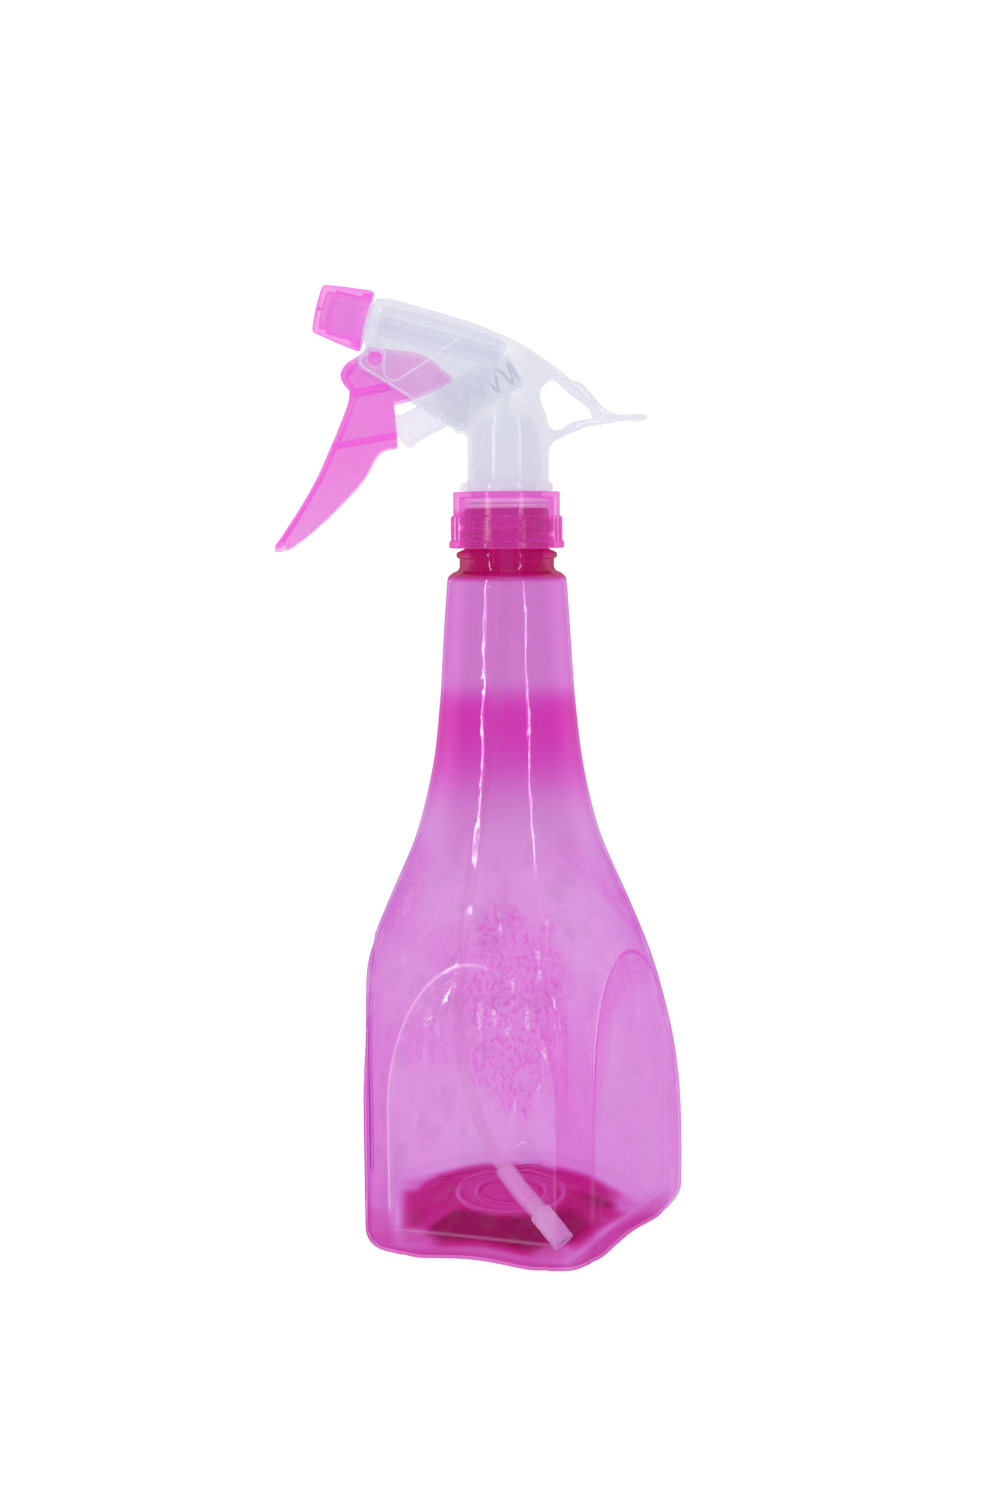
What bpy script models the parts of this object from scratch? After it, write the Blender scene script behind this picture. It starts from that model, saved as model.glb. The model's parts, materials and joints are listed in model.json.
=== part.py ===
"""Hand mister: a five-sided transparent bottle with a screw-on trigger sprayer.

Blender 4.5, metres, +Z up. The nozzle points to -X, so front is -X and rear is +X. The origin is on
the ground, midway between the trigger's tip and the bottle's rear corner, which puts the bottle's
axis at X = AXIS_X. Lengths below are in millimetres from that axis: a piece is modelled in
millimetres, then scaled to metres and moved to its place when it is finished.
"""

import math

import bmesh
import bpy
from mathutils import Matrix, Vector

MILLIMETRE = 0.001
CLEARANCE = 0.3
AXIS_X = 7.3

# Bottle body
FACE_APOTHEM = 44.7
CORNER_FILLET = 3.5
WALL = 0.95
# (height, largest radius)
BELL = [(0, 54.4), (20, 54.3), (40, 53.2), (60, 50.0), (80, 44.6), (100, 36.8), (120, 28.2),
        (140, 23.1), (160, 20.5), (180, 19.1), (197, 17.9)]
PANEL_HALF_WIDTH = 24.4
PANEL_SPRING_Z = 46.0
PANEL_RISE = 42.8
PANEL_DEPTH = 0.7
FOOT_LIFT = 1.5
HEEL_RADIUS = 10.0
FACE_HEEL_RADIUS = 4.5
PUSH_UP = 5.4

# Bottle neck and its thread
NECK_TOP = 218.5
NECK_ROOT_R = 12.55
NECK_BORE_R = 10.85
NECK_STEM_R = 14.1
BEAD_R = 15.0
THREAD_CREST_R = 13.6
THREAD_PITCH = 4.233
THREAD_START_Z = 208.7
THREAD_HALF_ROOT = 1.1
THREAD_HALF_CREST = 0.55

# Collar
COLLAR_BOTTOM = 206.8
COLLAR_TOP = 223.3
COLLAR_BAND_R = 15.85
COLLAR_RIB_R = 16.65
COLLAR_GROOVE_R = 16.2
COLLAR_FLANGE_R = 17.15
COLLAR_ROOT_R = 14.1
COLLAR_CREST_R = 12.95
COLLAR_HOLE_R = 10.4
COLLAR_RIBS = 32

# Closure pieces on the bottle's axis
CONNECTOR_FLANGE_TOP = 221.5
GASKET_BOTTOM = 218.8
GASKET_TOP = 219.8
BALL_R = 2.0
BALL_Z = 233.75

# Sprayer housing
HOUSING_HALF_WIDTH = 9.05
HOUSING_INNER_HALF = 7.85
SHANK_R = 12.0
SHANK_X = 0.6
FLANGE_R = 13.95
BARREL_R = 6.15
BORE_R = 5.0
BARREL_MOUTH = -6.0
CHAMBER_END = 18.5
BARREL_END = 19.7

# Axes. The pump axis rises to the rear, the nozzle axis rises to the front. Angles in degrees.
PUMP_START = (-13.3, 0, 250.0)
PUMP_ANGLE = 28.0
NOZZLE_START = (-39.05, 0, 272.3)
NOZZLE_ANGLE = 15.0
PIVOT = (-38.2, 0, 261.5)
PIVOT_R = 1.75

# Places along the pump axis
PISTON_NOSE = -21.1
RETURN_SPRING_END = 17.8

# Places along the nozzle axis, and the thread between boss and cap
CAP_REAR = 1.6
DISCHARGE_SPRING_END = 7.3
SEAL_REAR = 12.9
SEAL_FRONT = 14.3
BOSS_R = 5.4
BOSS_THREAD_START = 3.0
CAP_THREAD_PITCH = 1.6
CAP_THREAD_SHAPE = dict(pitch=CAP_THREAD_PITCH, half_root=0.45, half_crest=0.18, per_turn=14)

# Trigger
TRIGGER_HALF_WIDTH = 7.5
TRIGGER_INNER_HALF = 6.4
TRIGGER_RIB_THICKNESS = 1.3
TRIGGER_RIB_HALF = 7.0

# Dip tube
TUBE_R = 2.1
TUBE_BORE_R = 1.5
# (x, y, z) down the tube
TUBE_POINTS = [(0, 0, 230), (0, 0, 205), (-1, 0, 180), (-5, -1.5, 148), (-11, -4, 112),
               (-15.5, -8, 78), (-14.5, -14, 52), (-8.5, -20.5, 32), (0, -26, 19), (7, -31.5, 12),
               (13.6, -37.4, 5.2)]
# Distances back from the end of the path. The tube's start lies beyond the path's first point,
# so the tube begins at the second one.
TUBE_SPAN = (400, 16.5)
SLEEVE_SPAN = (28.5, 11.9)


# ---------------------------------------------------------------- basics

def clear_scene():
    for obj in list(bpy.data.objects):
        bpy.data.objects.remove(obj, do_unlink=True)


def material(name, colour, roughness, metallic=0.0, alpha=1.0):
    surface = bpy.data.materials.new(name)
    surface.use_nodes = True
    inputs = surface.node_tree.nodes["Principled BSDF"].inputs
    inputs["Base Color"].default_value = (*colour, 1.0)
    inputs["Roughness"].default_value = roughness
    inputs["Metallic"].default_value = metallic
    inputs["Alpha"].default_value = alpha
    return surface


def link_mesh(name, mesh_edit):
    """An object in the scene from a bmesh, which is freed."""
    mesh = bpy.data.meshes.new(name)
    mesh_edit.to_mesh(mesh)
    mesh_edit.free()
    obj = bpy.data.objects.new(name, mesh)
    bpy.context.scene.collection.objects.link(obj)
    return obj


def make(name, points, faces):
    """An object from points in millimetres; its faces are turned outward."""
    mesh_edit = bmesh.new()
    verts = [mesh_edit.verts.new(point) for point in points]
    for face in faces:
        mesh_edit.faces.new([verts[i] for i in face])
    bmesh.ops.recalc_face_normals(mesh_edit, faces=mesh_edit.faces)
    return link_mesh(name, mesh_edit)


def boolean(target, tool, operation):
    """Applies a Boolean and removes its tool."""
    modifier = target.modifiers.new("solid", "BOOLEAN")
    modifier.operation = operation
    modifier.solver = "EXACT"
    modifier.object = tool
    bpy.context.view_layer.update()
    graph = bpy.context.evaluated_depsgraph_get()
    mesh = bpy.data.meshes.new_from_object(target.evaluated_get(graph))
    target.modifiers.clear()
    target.data = mesh
    bpy.data.objects.remove(tool, do_unlink=True)
    return target


def cut(target, tool):
    return boolean(target, tool, "DIFFERENCE")


def join(target, tool):
    return boolean(target, tool, "UNION")


def world_location(obj):
    """Sum of the locations up the chain of parents; nothing in the chain is turned or scaled."""
    place = Vector((0, 0, 0))
    while obj:
        place += obj.location
        obj = obj.parent
    return place


def attach(obj, origin, parent):
    """Parents an object and puts its origin at a point in millimetres from the bottle's axis."""
    point = (Vector(origin) + Vector((AXIS_X, 0, 0))) * MILLIMETRE
    obj.parent = parent
    obj.location = point - world_location(parent)
    return obj


def finish(obj, surface, origin, parent):
    """Gives the piece its material, scales it to metres round its origin and parents it."""
    obj.data.materials.clear()
    obj.data.materials.append(surface)
    obj.data.transform(Matrix.Scale(MILLIMETRE, 4) @ Matrix.Translation(-Vector(origin)))
    obj.data.shade_smooth()
    obj.data.set_sharp_from_angle(angle=math.radians(35))
    return attach(obj, origin, parent)


def empty(name, origin, parent=None):
    obj = bpy.data.objects.new(name, None)
    obj.empty_display_size = 0.01
    bpy.context.scene.collection.objects.link(obj)
    return attach(obj, origin, parent)


# ---------------------------------------------------------------- frames

def axis_frame(origin, direction):
    """A matrix in millimetres whose local +Z is the direction. Local Y stays near world Y, or near
    world X where the direction runs along world Y."""
    z = Vector(direction).normalized()
    hint = Vector((0, 1, 0)) if abs(z.y) < 0.9 else Vector((1, 0, 0))
    x = hint.cross(z).normalized()
    y = z.cross(x)
    rotation = Matrix((x, y, z)).transposed().to_4x4()
    return Matrix.Translation(Vector(origin)) @ rotation


def turned(frame, degrees):
    """The frame turned about its own Z."""
    return frame @ Matrix.Rotation(math.radians(degrees), 4, "Z")


def pump_point(along):
    return (PUMP_START[0] + along * PUMP_DIRECTION[0], 0,
            PUMP_START[2] + along * PUMP_DIRECTION[2])


def nozzle_point(along, up=0.0):
    """A point along the nozzle axis, raised square to it in the XZ plane."""
    return (NOZZLE_START[0] + along * NOZZLE_DIRECTION[0] + up * NOZZLE_DIRECTION[2], 0,
            NOZZLE_START[2] + along * NOZZLE_DIRECTION[2] - up * NOZZLE_DIRECTION[0])


PUMP_DIRECTION = (math.cos(math.radians(PUMP_ANGLE)), 0, math.sin(math.radians(PUMP_ANGLE)))
NOZZLE_DIRECTION = (-math.cos(math.radians(NOZZLE_ANGLE)), 0,
                    math.sin(math.radians(NOZZLE_ANGLE)))
PUMP = axis_frame(PUMP_START, PUMP_DIRECTION)
NOZZLE = axis_frame(NOZZLE_START, NOZZLE_DIRECTION)
HINGE = axis_frame(PIVOT, (0, 1, 0))
UPRIGHT = Matrix.Identity(4)


# ---------------------------------------------------------------- shapes

def polar(radius, angle, z):
    return Vector((radius * math.cos(angle), radius * math.sin(angle), z))


def ring_grid(rows, closed_rows):
    """Points and faces between rings of the same count; a row of one point is a pole. Open ends
    that are not poles are capped."""
    points, rings = [], []
    for row in rows:
        rings.append(range(len(points), len(points) + len(row)))
        points.extend(row)
    pairs = list(zip(rings[:-1], rings[1:]))
    if closed_rows:
        pairs.append((rings[-1], rings[0]))
    faces = []
    for low, high in pairs:
        count = max(len(low), len(high))
        for i in range(count):
            j = (i + 1) % count
            if len(low) == 1:
                faces.append((low[0], high[j], high[i]))
            elif len(high) == 1:
                faces.append((low[i], low[j], high[0]))
            else:
                faces.append((low[i], low[j], high[j], high[i]))
    if not closed_rows:
        if len(rings[0]) > 1:
            faces.append(tuple(reversed(rings[0])))
        if len(rings[-1]) > 1:
            faces.append(tuple(rings[-1]))
    return points, faces


def lathe(name, profile, frame=UPRIGHT, columns=32, closed=False, reshape=None):
    """Turns (radius, height) points about the frame's Z. closed joins the last point to the first,
    for a ring-shaped piece. reshape(radius, column) may change a radius, for ribs."""
    rows = []
    for radius, height in profile:
        if radius < 1e-6:
            rows.append([frame @ Vector((0, 0, height))])
            continue
        ring = []
        for i in range(columns):
            reach = reshape(radius, i) if reshape else radius
            ring.append(frame @ polar(reach, 2 * math.pi * i / columns, height))
        rows.append(ring)
    return make(name, *ring_grid(rows, closed))


def rod(name, frame, radius, low, high, columns=32):
    return lathe(name, [(radius, low), (radius, high)], frame, columns)


def drill_ring(target, frame, count, first_degrees, ring_radius, hole_radius, low, high, columns):
    """Cuts evenly spaced holes on a circle about the frame's Z."""
    for k in range(count):
        centre = polar(ring_radius, math.radians(first_degrees + 360 / count * k), 0)
        hole_frame = frame @ Matrix.Translation(centre)
        cut(target, rod("hole", hole_frame, hole_radius, low, high, columns))


def prism(name, outline, half, squeeze=lambda x, z: 1):
    """An XZ outline, extruded to both sides in Y. squeeze(x, z) scales the half width."""
    left = [(x, -half * squeeze(x, z), z) for x, z in outline]
    right = [(x, half * squeeze(x, z), z) for x, z in outline]
    count = len(outline)
    faces = [tuple(range(count)), tuple(reversed(range(count, 2 * count)))]
    for i in range(count):
        j = (i + 1) % count
        faces.append((j, i, count + i, count + j))
    return make(name, left + right, faces)


def bar(name, start, end, thickness, half):
    """A flat web from start to end in XZ."""
    start, end = Vector(start), Vector(end)
    along = (end - start).normalized() * thickness / 2
    side = Vector((-along.y, along.x))
    return prism(name, [start + side, end + side, end - side, start - side], half)


def spline(points, steps):
    """A Catmull-Rom curve through the points."""
    knots = [Vector(point) for point in points]
    knots = [2 * knots[0] - knots[1]] + knots + [2 * knots[-1] - knots[-2]]
    curve = []
    for i in range(1, len(knots) - 2):
        before, start, end, after = knots[i - 1:i + 3]
        for k in range(steps):
            t = k / steps
            curve.append(0.5 * ((2 * start) + (end - before) * t
                                + (2 * before - 5 * start + 4 * end - after) * t * t
                                + (3 * start - before - 3 * end + after) * t ** 3))
    curve.append(knots[-2])
    return curve


def value_on(table, position):
    """A smooth value through (position, value) pairs, for a position inside the table."""
    def slope(first, second):
        return (table[second][1] - table[first][1]) / (table[second][0] - table[first][0])

    last = len(table) - 1
    i = max(k for k in range(last) if table[k][0] <= position)
    start, start_value = table[i]
    end, end_value = table[i + 1]
    start_slope = slope(max(i - 1, 0), i + 1)
    end_slope = slope(i, min(i + 2, last))
    span = end - start
    t = (position - start) / span
    return ((2 * t ** 3 - 3 * t * t + 1) * start_value
            + (t ** 3 - 2 * t * t + t) * span * start_slope
            + (-2 * t ** 3 + 3 * t * t) * end_value
            + (t ** 3 - t * t) * span * end_slope)


def smooth(start, end, value):
    """Eases from 0 at start to 1 at end."""
    t = min(max((value - start) / (end - start), 0), 1)
    return t * t * (3 - 2 * t)


def smooth_min(first, second, blend):
    overlap = max(blend - abs(first - second), 0) / blend
    return min(first, second) - overlap * overlap * blend / 4


def sweep_rings(path, radius, sides):
    """Rings of a round section along a path, without twist."""
    rings = []
    tangent = (path[1] - path[0]).normalized()
    x = Vector((0, 1, 0)).cross(tangent).normalized()
    for i, point in enumerate(path):
        tangent = (path[min(i + 1, len(path) - 1)] - path[max(i - 1, 0)]).normalized()
        x = (x - tangent * x.dot(tangent)).normalized()
        y = tangent.cross(x)
        angles = [2 * math.pi * k / sides for k in range(sides)]
        rings.append([point + radius * (x * math.cos(angle) + y * math.sin(angle))
                      for angle in angles])
    return rings


def pipe(name, path, outer, inner, sides):
    """A hollow pipe, open at both ends."""
    rows = sweep_rings(path, outer, sides) + list(reversed(sweep_rings(path, inner, sides)))
    return make(name, *ring_grid(rows, True))


def coil(name, frame, low, high, radius, wire, turns, per_turn, sides):
    """A compression spring with closed end coils. wire is the wire's radius."""
    end_turns = 0.75
    end_pitch = wire * 2.25
    end_rise = end_pitch * end_turns
    path = []
    for i in range(turns * per_turn + 1):
        turn = i / per_turn
        if turn < end_turns:
            height = low + end_pitch * turn
        elif turn > turns - end_turns:
            height = high - end_pitch * (turns - turn)
        else:
            share = (turn - end_turns) / (turns - 2 * end_turns)
            height = low + end_rise + (high - low - 2 * end_rise) * share
        path.append(frame @ polar(radius, 2 * math.pi * turn, height))
    return make(name, *ring_grid(sweep_rings(path, wire, sides), False))


def thread(frame, root, crest, pitch, first, turns, phase, half_root, half_crest, per_turn=20):
    """A right-hand ridge on a cylinder, inward where the crest is smaller than the root. It sinks
    a little into its wall and fades out at both ends."""
    sink = math.copysign(0.35, root - crest)
    steps = round(turns * per_turn)
    rows = []
    for i in range(steps + 1):
        turn = i / per_turn
        fade = min(1.0, i / 2, (steps - i) / 2)
        tip = root + (crest - root) * fade if fade else root + sink * 0.5
        half_tip = half_crest * max(fade, 0.3)
        angle = 2 * math.pi * turn + phase
        height = first + pitch * turn
        section = [(root + sink, height - half_root), (tip, height - half_tip),
                   (tip, height + half_tip), (root + sink, height + half_root)]
        rows.append([frame @ polar(radius, angle, z) for radius, z in section])
    return make("ridge", *ring_grid(rows, False))


# ---------------------------------------------------------------- bottle

# Degrees from a face's middle: half of one face from its corner, then the other half.
FACE_COLUMNS = [-36, -33.4, -31, -26, -12, 0, 12, 26, 31, 33.4]
# (degrees round the axis, degrees from the face's middle)
BOTTLE_COLUMNS = [(36 + 72 * k + off, off) for k in range(5) for off in FACE_COLUMNS]


def prism_radius(off):
    """Polar radius of the rounded pentagon, off degrees from a face's middle."""
    angle = math.radians(abs(off))
    half = math.radians(36)
    if FACE_APOTHEM * math.tan(angle) <= (FACE_APOTHEM - CORNER_FILLET) * math.tan(half):
        return FACE_APOTHEM / math.cos(angle)
    centre = (FACE_APOTHEM - CORNER_FILLET) / math.cos(half)
    turn = half - angle
    return (centre * math.cos(turn)
            + math.sqrt(CORNER_FILLET ** 2 - (centre * math.sin(turn)) ** 2))


def panel_depth(off, z):
    """How far the arched panel sinks the face at this place."""
    across = abs(FACE_APOTHEM * math.tan(math.radians(off)))
    if z > PANEL_SPRING_Z:
        reach = math.hypot(across / PANEL_HALF_WIDTH, (z - PANEL_SPRING_Z) / PANEL_RISE)
        inside = (1 - reach) * PANEL_HALF_WIDTH
    else:
        inside = PANEL_HALF_WIDTH - across
    return PANEL_DEPTH * smooth(-0.6, 1.2, inside) * smooth(8, 16, z)


def body_radius(off, z):
    return smooth_min(value_on(BELL, z), prism_radius(off), 2.0) - panel_depth(off, z)


def base_height(share, off):
    """Height of the underside at a share of the radius: domed in the middle, with the rim on the
    ground at the corners and lifted in the middle of a face."""
    rim = FOOT_LIFT * (1 - smooth(0, 31, abs(off)))
    dome = PUSH_UP + 0.5 * (1 - min(share / 0.3, 1) ** 2)
    return dome + (rim - dome) * smooth(0.36, 0.72, share)


def heel_radius(off):
    """Tight along the middle of a face and full at the corners."""
    return FACE_HEEL_RADIUS + (HEEL_RADIUS - FACE_HEEL_RADIUS) * smooth(14, 34, abs(off))


def bottle_ring(place):
    """A ring of points; place(off) gives the radius and height of each column."""
    ring = []
    for angle, off in BOTTLE_COLUMNS:
        radius, z = place(off)
        ring.append(polar(radius, math.radians(angle), z))
    return ring


def bottle_rows(wall, side_levels):
    """Rings from the base centre up to the shoulder, sunk by the wall."""
    rows = [[Vector((0, 0, base_height(0, 36) + wall))]]
    for share in (0.2, 0.36, 0.54, 0.72, 0.8):
        rows.append(bottle_ring(lambda off: (share * (body_radius(off, 12) - wall),
                                             base_height(share, off) + wall)))
    for tilt in (math.radians(20), math.radians(45), math.radians(70)):
        def on_heel(off):
            heel = heel_radius(off) - wall
            return (body_radius(off, 14) - wall - heel * (1 - math.sin(tilt)),
                    base_height(1, off) + wall + heel * (1 - math.cos(tilt)))
        rows.append(bottle_ring(on_heel))
    for z in side_levels:
        rows.append(bottle_ring(lambda off: (body_radius(off, z) - wall, z)))
    return rows


def neck_rows(profile):
    """Round rings from (radius, height) points, on the bottle's columns."""
    return [bottle_ring(lambda off: station) for station in profile]


def build_bottle():
    outer = bottle_rows(0.0, [15, 28, 48, 64, 76, 86, 94, 106, 120, 136, 156, 196])
    outer += neck_rows([
        (17.7, 198.0), (16.2, 199.2), (14.5, 199.9), (NECK_STEM_R, 200.9), (NECK_STEM_R, 203.6),
        (BEAD_R, 204.0), (BEAD_R, 205.4), (NECK_STEM_R, 205.9), (NECK_ROOT_R, 206.4),
        (NECK_ROOT_R, NECK_TOP - 0.4), (NECK_ROOT_R - 0.4, NECK_TOP)])
    inner = bottle_rows(WALL, [15, 48, 76, 94, 120, 156, 196])
    inner += neck_rows([
        (15.2, 198.4), (13.2, 199.4), (NECK_BORE_R + 0.6, 201.0), (NECK_BORE_R, 204.0),
        (NECK_BORE_R, NECK_TOP)])
    body = make("bottle", *ring_grid(outer + list(reversed(inner)), False))
    return join(body, thread(UPRIGHT, root=NECK_ROOT_R, crest=THREAD_CREST_R, pitch=THREAD_PITCH,
                             first=THREAD_START_Z, turns=1.5, phase=0.0,
                             half_root=THREAD_HALF_ROOT, half_crest=THREAD_HALF_CREST))


# ---------------------------------------------------------------- closure

def build_collar():
    def ribs(radius, column):
        return COLLAR_GROOVE_R if radius == COLLAR_RIB_R and column % 2 else radius

    profile = [
        (COLLAR_HOLE_R, COLLAR_TOP), (COLLAR_HOLE_R, 221.8), (COLLAR_ROOT_R, 221.8),
        (COLLAR_ROOT_R, 208.0), (14.6, COLLAR_BOTTOM), (COLLAR_FLANGE_R - 0.2, COLLAR_BOTTOM),
        (COLLAR_FLANGE_R, 207.1), (COLLAR_FLANGE_R, 208.7), (COLLAR_RIB_R, 208.9),
        (COLLAR_RIB_R, 215.8), (COLLAR_BAND_R, 216.2), (COLLAR_BAND_R, 222.6), (15.3, COLLAR_TOP)]
    collar = lathe("collar", profile, columns=2 * COLLAR_RIBS, closed=True, reshape=ribs)
    # Half a turn round from the bottle's ridge, so that it runs half a pitch from it.
    return join(collar, thread(UPRIGHT, root=COLLAR_ROOT_R, crest=COLLAR_CREST_R,
                               pitch=THREAD_PITCH, first=THREAD_START_Z, turns=1.4, phase=math.pi,
                               half_root=THREAD_HALF_ROOT, half_crest=THREAD_HALF_CREST))


def build_gasket():
    profile = [(8.6, GASKET_BOTTOM), (12.2, GASKET_BOTTOM), (12.2, GASKET_TOP), (8.6, GASKET_TOP)]
    return lathe("neck_gasket", profile, columns=40, closed=True)


def build_connector():
    """Flange that the collar clamps, plug in the housing, valve column with seat and chamber."""
    profile = [
        (2.4, 212.5), (3.7, 212.5), (3.7, 220.1), (12.5, 220.1), (12.5, CONNECTOR_FLANGE_TOP),
        (8.1, CONNECTOR_FLANGE_TOP), (8.1, 226.0), (4.6, 226.8), (4.6, 239.5), (3.3, 239.5),
        (3.3, 237.4), (2.6, 237.4), (2.6, 233.2), (1.4, 232.0), (1.4, 230.5), (2.4, 230.3)]
    return lathe("shank_connector", profile, columns=28, closed=True)


def build_ball():
    mesh_edit = bmesh.new()
    bmesh.ops.create_icosphere(mesh_edit, subdivisions=2, radius=BALL_R)
    bmesh.ops.translate(mesh_edit, verts=mesh_edit.verts, vec=(0, 0, BALL_Z))
    return link_mesh("intake_ball", mesh_edit)


def build_ball_stop():
    disc = rod("ball_stop", UPRIGHT, radius=3.0, low=237.7, high=239.2, columns=24)
    drill_ring(disc, UPRIGHT, count=4, first_degrees=45, ring_radius=1.6, hole_radius=0.7,
               low=237, high=240, columns=10)
    return disc


# ---------------------------------------------------------------- housing

# (x, z) of the side view: along the top to the rear, round the tail, back along the underside
HOUSING_OUTLINE = [
    (-37.4, 278.4), (-33.6, 278.2), (-27, 276.5), (-21, 274.8), (-14.7, 273), (-9, 271.2),
    (-5, 269.6), (-0.6, 267.8), (3, 266.1), (6.2, 264.3), (9, 262.4), (11.5, 260.7), (14, 259),
    (16.3, 257.3), (18.6, 255.4), (21.5, 254.5), (24.5, 251.6), (28.6, 247.3), (31.4, 245.9),
    (34, 245.5), (41, 245.4), (41.6, 244.7), (41, 244), (34.5, 244.1), (31.9, 243.5),
    (27.1, 242.9), (24.2, 242.5), (22.6, 241.8), (19.2, 240.4), (16.2, 238.9), (14, 237.9),
    (12.7, 236.5), (12, 234), (-10.9, 234), (-10.9, 238.4), (-11.2, 239.8), (-13, 241),
    (-14.5, 240.4), (-16.1, 242.5), (-26.3, 248.7), (-34.8, 254.1), (-42, 258.4), (-43, 259.4),
    (-43.2, 260.6), (-42.9, 262), (-41.3, 263.9)]
# (x, z) of the opening through the rear of the housing
LOOP_HOLE = [
    (14.5, 256.4), (11.8, 254.8), (10, 253), (9.6, 251), (9.7, 249.3), (11.2, 245.8),
    (12.1, 242.2), (13.1, 241.2), (15.9, 241.2), (18.3, 242.9), (20.6, 243.6), (24.5, 244.3),
    (26.5, 244.6), (26, 245.6), (25.7, 247), (22.7, 249.9), (19.5, 252.2), (16.8, 254.8)]
# (x, z) of the hollow between the side walls, open below and in front
CAVITY = [
    nozzle_point(-1.8, 4.6)[::2], (-26.8, 274.7), (-14.7, 271.3), (-5, 268), (0.5, 265.6),
    (-1.5, 262), (-6, 250), (-9.8, 243.6), (-15, 238), (-20, 233), (-50, 250), (-50, 268.8),
    nozzle_point(3, -6.3)[::2], nozzle_point(-1.8, -6.3)[::2]]


def housing_width(x, z):
    """Narrows towards the tail and, a little, at the top of the front."""
    return 1.0 - 0.42 * smooth(8, 36, x) - 0.1 * smooth(-30, -42, x) * smooth(262, 270, z)


def add_housing_solids(body):
    join(body, rod("barrel", PUMP, BARREL_R, BARREL_MOUTH, BARREL_END))
    join(body, rod("discharge", NOZZLE, radius=3.0, low=-38.0, high=-0.9, columns=20))
    shank = [(0, 223.9), (11.0, 223.9), (SHANK_R, 225.0), (SHANK_R, 237.5), (11.75, 241),
             (10.9, 245), (9.6, 248.4), (7.6, 251.8), (4.5, 254.3), (0, 255.2)]
    join(body, lathe("shank", shank, Matrix.Translation((SHANK_X, 0, 0)), columns=40))
    flange = [(0, 221.9), (10.0, 221.9), (10.0, 223.6), (FLANGE_R, 223.6),
              (FLANGE_R - 0.2, 225.6), (FLANGE_R - 0.8, 226.1), (0, 226.1)]
    join(body, lathe("flange", flange, columns=40))
    boss = [(0, -1.3), (BOSS_R, -1.3), (BOSS_R, 11.0), (5.0, 11.4), (0, 11.4)]
    join(body, lathe("boss", boss, turned(NOZZLE, 3)))


def cut_housing_hollows(body):
    cut(body, rod("bore", PUMP, BORE_R, BARREL_MOUTH - 6, CHAMBER_END))
    valve_chamber = [(0, 1.0), (1.5, 1.0), (2.7, 2.2), (4.0, 2.4), (4.0, 13), (0, 13)]
    cut(body, lathe("valve_chamber", valve_chamber, turned(NOZZLE, 5), columns=24))
    cut(body, rod("discharge_way", turned(NOZZLE, 8), radius=1.15, low=-39.5, high=1.9,
                  columns=10))
    shank_hollow = [(0, 220), (8.4, 220), (8.4, 226.3), (10.2, 228.3), (10.2, 238.0), (9.0, 242),
                    (7.0, 245), (0, 245.4)]
    cut(body, lathe("shank_hollow", shank_hollow, turned(Matrix.Translation((0.2, 0, 0)), 4)))


def build_housing():
    body = prism("sprayer_housing", HOUSING_OUTLINE, HOUSING_HALF_WIDTH, housing_width)
    cut(body, prism("cavity", CAVITY, HOUSING_INNER_HALF))
    cut(body, prism("loop", LOOP_HOLE, half=20))
    add_housing_solids(body)
    cut_housing_hollows(body)
    # The intake boss stands inside the shank's hollow, so it comes after that cut.
    join(body, rod("intake_boss", UPRIGHT, radius=6.2, low=236.6, high=248, columns=24))
    cut(body, rod("intake_socket", UPRIGHT, radius=4.9, low=236, high=240.2, columns=24))
    cut(body, rod("intake_way", UPRIGHT, radius=1.2, low=239, high=253, columns=12))
    cut(body, rod("pivot_hole", HINGE, PIVOT_R + CLEARANCE, low=-12, high=12, columns=24))
    return join(body, thread(NOZZLE, root=BOSS_R, crest=6.1, first=BOSS_THREAD_START, turns=1.75,
                             phase=0.1, **CAP_THREAD_SHAPE))


# ---------------------------------------------------------------- pump

def build_piston():
    """Plunger: domed front, two seal grooves, a pocket for the spring at its inner end."""
    profile = [
        (0, PISTON_NOSE), (2.6, -21.0), (4.4, -20.6), (5.2, -19.7), (5.2, -18.3), (4.6, -17.6),
        (4.6, -4.9), (4.1, -4.9), (4.1, -3.1), (4.5, -3.1), (4.5, -0.9), (3.9, -0.9), (3.9, 1.1),
        (4.4, 1.1), (4.4, 1.6), (3.5, 1.6), (3.5, -1.6), (0, -1.6)]
    return lathe("piston", profile, PUMP, columns=24)


def build_piston_seal():
    """Cup seal: a ring with a thin flared lip towards the chamber."""
    profile = [(4.1, -0.7), (4.6, -0.7), (4.85, 0.8), (4.65, 0.9), (4.4, 0.2), (4.1, 0.2)]
    return lathe("piston_seal", profile, PUMP, columns=24, closed=True)


def build_piston_wiper():
    profile = [(4.3, -4.6), (4.7, -4.6), (4.85, -4.0), (4.7, -3.4), (4.3, -3.4)]
    return lathe("piston_wiper", profile, PUMP, columns=24, closed=True)


def build_return_spring():
    return coil("return_spring", PUMP, low=-0.8, high=RETURN_SPRING_END, radius=2.9, wire=0.42,
                turns=5, per_turn=12, sides=4)


# ---------------------------------------------------------------- nozzle

def build_discharge_valve():
    """Poppet: a conical nose on its seat and a short stem for the spring."""
    profile = [(0, 1.3), (1.35, 1.3), (2.5, 2.45), (3.4, 2.8), (3.4, 3.9), (1.0, 3.9), (1.0, 5.2),
               (0, 5.2)]
    return lathe("discharge_valve", profile, NOZZLE, columns=20)


def build_discharge_spring():
    return coil("discharge_spring", NOZZLE, low=4.45, high=DISCHARGE_SPRING_END, radius=1.75,
                wire=0.22, turns=4, per_turn=8, sides=4)


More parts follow.
